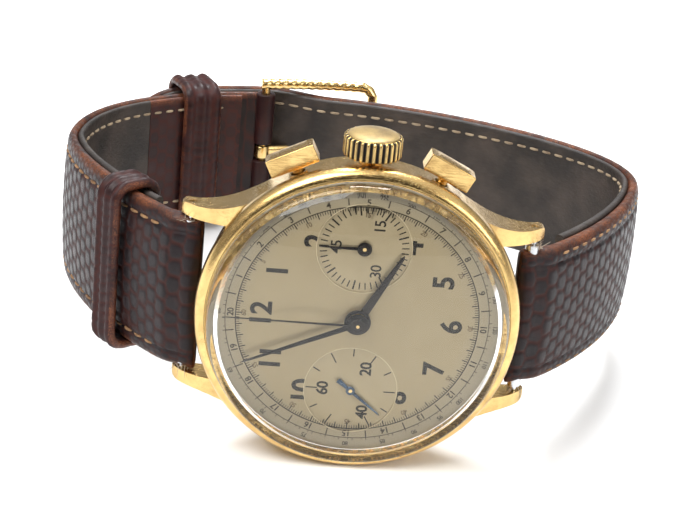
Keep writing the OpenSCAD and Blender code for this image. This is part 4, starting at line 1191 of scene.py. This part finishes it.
def tuft(side, end, seed, count=10):
    """Short bent fibres c(s) = root + s * reach + s^2 * droop, s from 0 to 1."""
    draw, parts = np.random.default_rng(seed), []
    s = np.linspace(0, 1, 7)[:, None]
    ring = np.radians(np.arange(0, 360, 72))
    for _ in range(count):
        root = np.array([side * (bar_x + draw.uniform(-0.7, 0.9)), end * 8.5,
                         -bar_depth + draw.uniform(-0.3, 1.2)])
        reach = np.array([side * draw.uniform(-0.5, 0.9), end * draw.uniform(0.4, 0.9),
                          draw.uniform(0.1, 0.8)])
        line = root + s * reach + s ** 2 * draw.uniform(-0.5, 0.5, 3)
        thick = 0.05 * (1 - 0.5 * s[..., None])
        circle = np.stack([np.cos(ring), 0 * ring, np.sin(ring)], -1)
        parts.append(surface(line[:, None] + thick * circle, wrap_cols=True))
    return together(parts)


new_piece("frayed_fibres", together([tuft(side, end, 10 + 2 * side + end)
                                     for side in (-1, 1) for end in (-1, 1)]),
          frayed)

pin_z = float(loop(np.array(pin_t))[1])
for name, middle in (("pin_fold_left", -4.55), ("pin_fold_right", 4.55)):
    tube = crosswise(lathe(sleeve(1.25, 0.62, 3.4), 48, wrap=True), pin_x, pin_z, middle)
    new_piece(name, tube, red_lizard,
              marks={"scale": np.full(len(tube[0]), 0.5), "tone": np.zeros(len(tube[0])),
                     "fold": np.zeros(len(tube[0]))})

# %% [markdown]
# Saddle stitches are short arches of thread: both ends dive into the skin and the middle stands
# up. One arch is a capsule of a few dozen faces, and all of a line's arches are one array.

# %% Stitches
def stitches(run, y, height, out_sign=1.0):
    """Capsules between neighbouring points of a line of holes, arched away from the skin."""
    thick, steps, sides = 0.17, 7, 8
    t = t_of(run)
    holes = strap_point(t, height, y)
    start, stop = mix(holes[:-1], holes[1:], 0.1), mix(holes[:-1], holes[1:], 0.9)
    middle_t = (t[:-1] + t[1:]) / 2
    out = loop_out(middle_t)
    out = np.stack([out[:, 0], 0 * middle_t, out[:, 1]], -1) * out_sign
    side = np.cross(out, stop - start)
    side /= np.linalg.norm(side, axis=1, keepdims=True)
    s = np.linspace(-1, 1, steps)[None, :, None, None]
    a = np.linspace(0, 2 * np.pi, sides, endpoint=False)[None, None, :, None]
    thin = thick * np.sqrt(1 - np.abs(s) ** 3)
    line = mix(start[:, None, None], stop[:, None, None], (s + 1) / 2)
    points = (line + out[:, None, None] * (0.16 * (1 - s ** 2) - 0.1 + thin * np.sin(a))
              + side[:, None, None] * thin * np.cos(a))
    _, quads = surface(np.zeros((steps, sides, 3)), wrap_cols=True)
    starts = np.arange(len(points))[:, None, None] * steps * sides
    return points.reshape(-1, 3), (quads + starts).reshape(-1, 4)


STITCH = 1.85             # from one hole to the next
tail_line = np.arange(run_of(bar_t + 4.5), tip_run, STITCH)
buckle_line = np.arange(run_of(-bar_t - 4.5), run_of(pin_t - 350), -STITCH)
lines = []
for line, rise in ((tail_line, overlap), (buckle_line, level)):
    t = t_of(line)
    for side in (-1, 1):
        y = side * (half_width(t) - stitch_in)
        drop = crowning(t) * (y / lug_half) ** 2 + 0.2
        lines.append(stitches(line, y, rise(t) + skin_top(t) - drop + 0.08))
new_piece("strap_stitches", together(lines), thread)
lines = []
for line, rise in ((tail_line[5:], overlap), (buckle_line[5:], level)):
    t = t_of(line)
    for side in (-1, 1):
        lines.append(stitches(line, side * (half_width(t) - stitch_in),
                              rise(t) - lining_depth(t), -1.0))
new_piece("lining_stitches", together(lines), lining_thread)

# %% [markdown]
# A keeper is a leather band bent round both strap halves. Its path is a rounded rectangle, and
# its section has three ridges pressed between two grooves. The long scales of its skin run
# across the band, two to a row.

# %% Keepers
def rounded_path(half, low, high, r, spacing):
    """Points and outward normals round a rectangle with round corners, in (across, out)."""
    corners = ((half - r, high - r, 0), (-half + r, high - r, 90), (-half + r, low + r, 180),
               (half - r, low + r, 270))
    points, normals = [], []
    for (cx, cy, start), (nx, ny, _) in zip(corners, corners[1:] + corners[:1]):
        bend = np.radians(np.linspace(start, start + 90, 9))
        normal = np.stack([np.cos(bend), np.sin(bend)], -1)
        points.append(np.array([cx, cy]) + r * normal)
        normals.append(normal)
        gap = math.hypot(nx - cx, ny - cy)
        share = np.linspace(0, 1, max(int(gap / spacing), 2) + 1)[1:-1, None]
        ahead = np.array([nx, ny]) + r * normal[-1]
        points.append(mix(points[-1][-1], ahead, share))
        normals.append(np.broadcast_to(normal[-1], points[-1].shape))
    return np.concatenate(points), np.concatenate(normals)


def keeper(t, wide, low, high, half, wall):
    """The band's grid round its path and its section, with the marks of its skin."""
    path, normal = rounded_path(half, low, high, 1.3, 0.3)
    edge = np.radians(np.linspace(-90, 90, 9))
    top = np.linspace(1, -1, 21)[1:-1]
    edge_r = 0.35
    flat = wide / 2 - edge_r
    along = np.concatenate([flat + edge_r * np.cos(edge), top * flat,
                            -flat - edge_r * np.cos(edge), -top[::2] * flat])
    lift = np.concatenate([0.5 + 0.5 * np.sin(edge), 1 + 0 * top, 0.5 - 0.5 * np.sin(edge),
                           0 * top[::2]])
    span = np.concatenate([[0], np.cumsum(np.linalg.norm(np.diff(path, axis=0), axis=1))])
    inside, tone = mosaic(along[None] + 0 * span[:, None], span[:, None] + 0 * along[None],
                          wide / 2.0, 1.15)
    raised = 1 - (1 - np.clip(inside / 0.4, 0, 1)) ** 2
    ridges = 0.16 * np.cos(2 * np.pi * along * 3 / wide)[None]
    outside = np.clip(lift * 2 - 1, 0, 1)[None]
    depth = lift[None] * (wall - 0.3) + outside * (0.14 + ridges + 0.1 * (raised - 0.6))
    around_band = path[:, None] + normal[:, None] * np.clip(depth, 0, None)[..., None]
    tangent = loop_out(np.array(float(t)))[::-1] * np.array([1, -1])
    base = strap_point(t, around_band[..., 1], around_band[..., 0])
    grid = base + along[None, :, None] * np.array([tangent[0], 0, tangent[1]])
    fold = np.broadcast_to((np.abs(along) > wide / 2 - 0.3).astype(float), inside.shape)
    return surface(grid, True, True), {"scale": inside, "tone": tone, "fold": fold}


part, marks = keeper(-54, 4, -1.7, 2.55, 9.1, 1.1)
new_piece("free_keeper_band", part, red_lizard, "free_keeper", marks, 70,
          stands_for=["free_keeper"])
part, marks = keeper(216, 5, -1.35, 4.0, 8.45, 1.1)
new_piece("fixed_keeper_band", part, red_lizard, "root", marks, 70,
          stands_for=["fixed_keeper"])

# %% [markdown]
# ## Buckle
# The frame is one gold wire bent round three sides and milled like a rope, so its radius swells
# along a helix. The tongue is a flattened wire curled round the pin.

# %% Frame and tongue
sides = 20


def swept(centre, across, out, half_wide, half_thick):
    """An oval carried along a centre line, given its two half axes at every step."""
    a = np.linspace(0, 2 * np.pi, sides, endpoint=False)
    ring_points = (centre[:, None] + across[:, None] * (half_wide * np.cos(a))[..., None]
                   + out[:, None] * (half_thick * np.sin(a))[..., None])
    ends = centre[[0, -1]][:, None] + np.zeros((1, sides, 1))
    return surface(np.concatenate([ends[:1], ring_points, ends[1:]]), wrap_cols=True)


front_t, front_lift, rail_y, corner_r = 175.5, 2.05, 9.2, 1.6
reach = run_of(pin_t + 1.2) - run_of(front_t)
bend = np.radians(np.linspace(0, 90, 14))
side_steps = 60
side_run = np.linspace(0, reach - corner_r, side_steps)
bar_y = np.linspace(rail_y - corner_r, corner_r - rail_y, 90)[1:-1]
frame_run = np.concatenate([side_run, reach - corner_r + corner_r * np.sin(bend)[1:],
                            np.full(len(bar_y), reach),
                            reach - corner_r + corner_r * np.sin(bend)[::-1], side_run[::-1][1:]])
frame_y = np.concatenate([np.full(side_steps, rail_y),
                          rail_y - corner_r + corner_r * np.cos(bend)[1:], bar_y,
                          -(rail_y - corner_r) - corner_r * np.cos(bend)[::-1],
                          np.full(side_steps - 1, -rail_y)])
frame_t = t_of(run_of(pin_t + 1.2) - frame_run)
centre = strap_point(frame_t, front_lift * (pin_t - frame_t) / (pin_t - front_t), frame_y)
heading = np.gradient(centre, axis=0)
heading /= np.linalg.norm(heading, axis=1, keepdims=True)
out = loop_out(frame_t)
out = np.stack([out[:, 0], 0 * frame_t, out[:, 1]], -1)
across = np.cross(out, heading)
across /= np.linalg.norm(across, axis=1, keepdims=True)
length = np.concatenate([[0], np.cumsum(np.linalg.norm(np.diff(centre, axis=0), axis=1))])
twist = np.linspace(0, 2 * np.pi, sides, endpoint=False)
rope_pitch = 1.1
rope = 1 + 0.07 * np.cos(2 * np.pi * length[:, None] / rope_pitch + 2 * twist)
new_piece("buckle_frame_wire", swept(centre, across, out, 0.66 * rope, 0.7 * rope), buckle_gold,
          "buckle_frame", stands_for=["buckle_frame"])

share = np.linspace(0, 1, 50)
tongue_t = mix(pin_t - 1.2, front_t - 2.2, share)
centre = strap_point(tongue_t, 3.55 * (pin_t - tongue_t) / (pin_t - front_t + 2.2), 0 * share)
out = loop_out(tongue_t)
out = np.stack([out[:, 0], 0 * share, out[:, 1]], -1)
across = np.array([0, 1.0, 0]) + 0 * out
narrow = np.sqrt(np.clip((1 - share) / 0.05, 0, 1))[:, None]
tongue = swept(centre, across, out, mix(0.66, 0.5, share)[:, None] * narrow, 0.33 * narrow)
curl = crosswise(lathe(sleeve(0.95, 0.6, 0.85), 40, wrap=True), pin_x, pin_z)
new_piece("buckle_tongue_wire", together([tongue, curl]), buckle_gold, "buckle_tongue",
          stands_for=["buckle_tongue"])
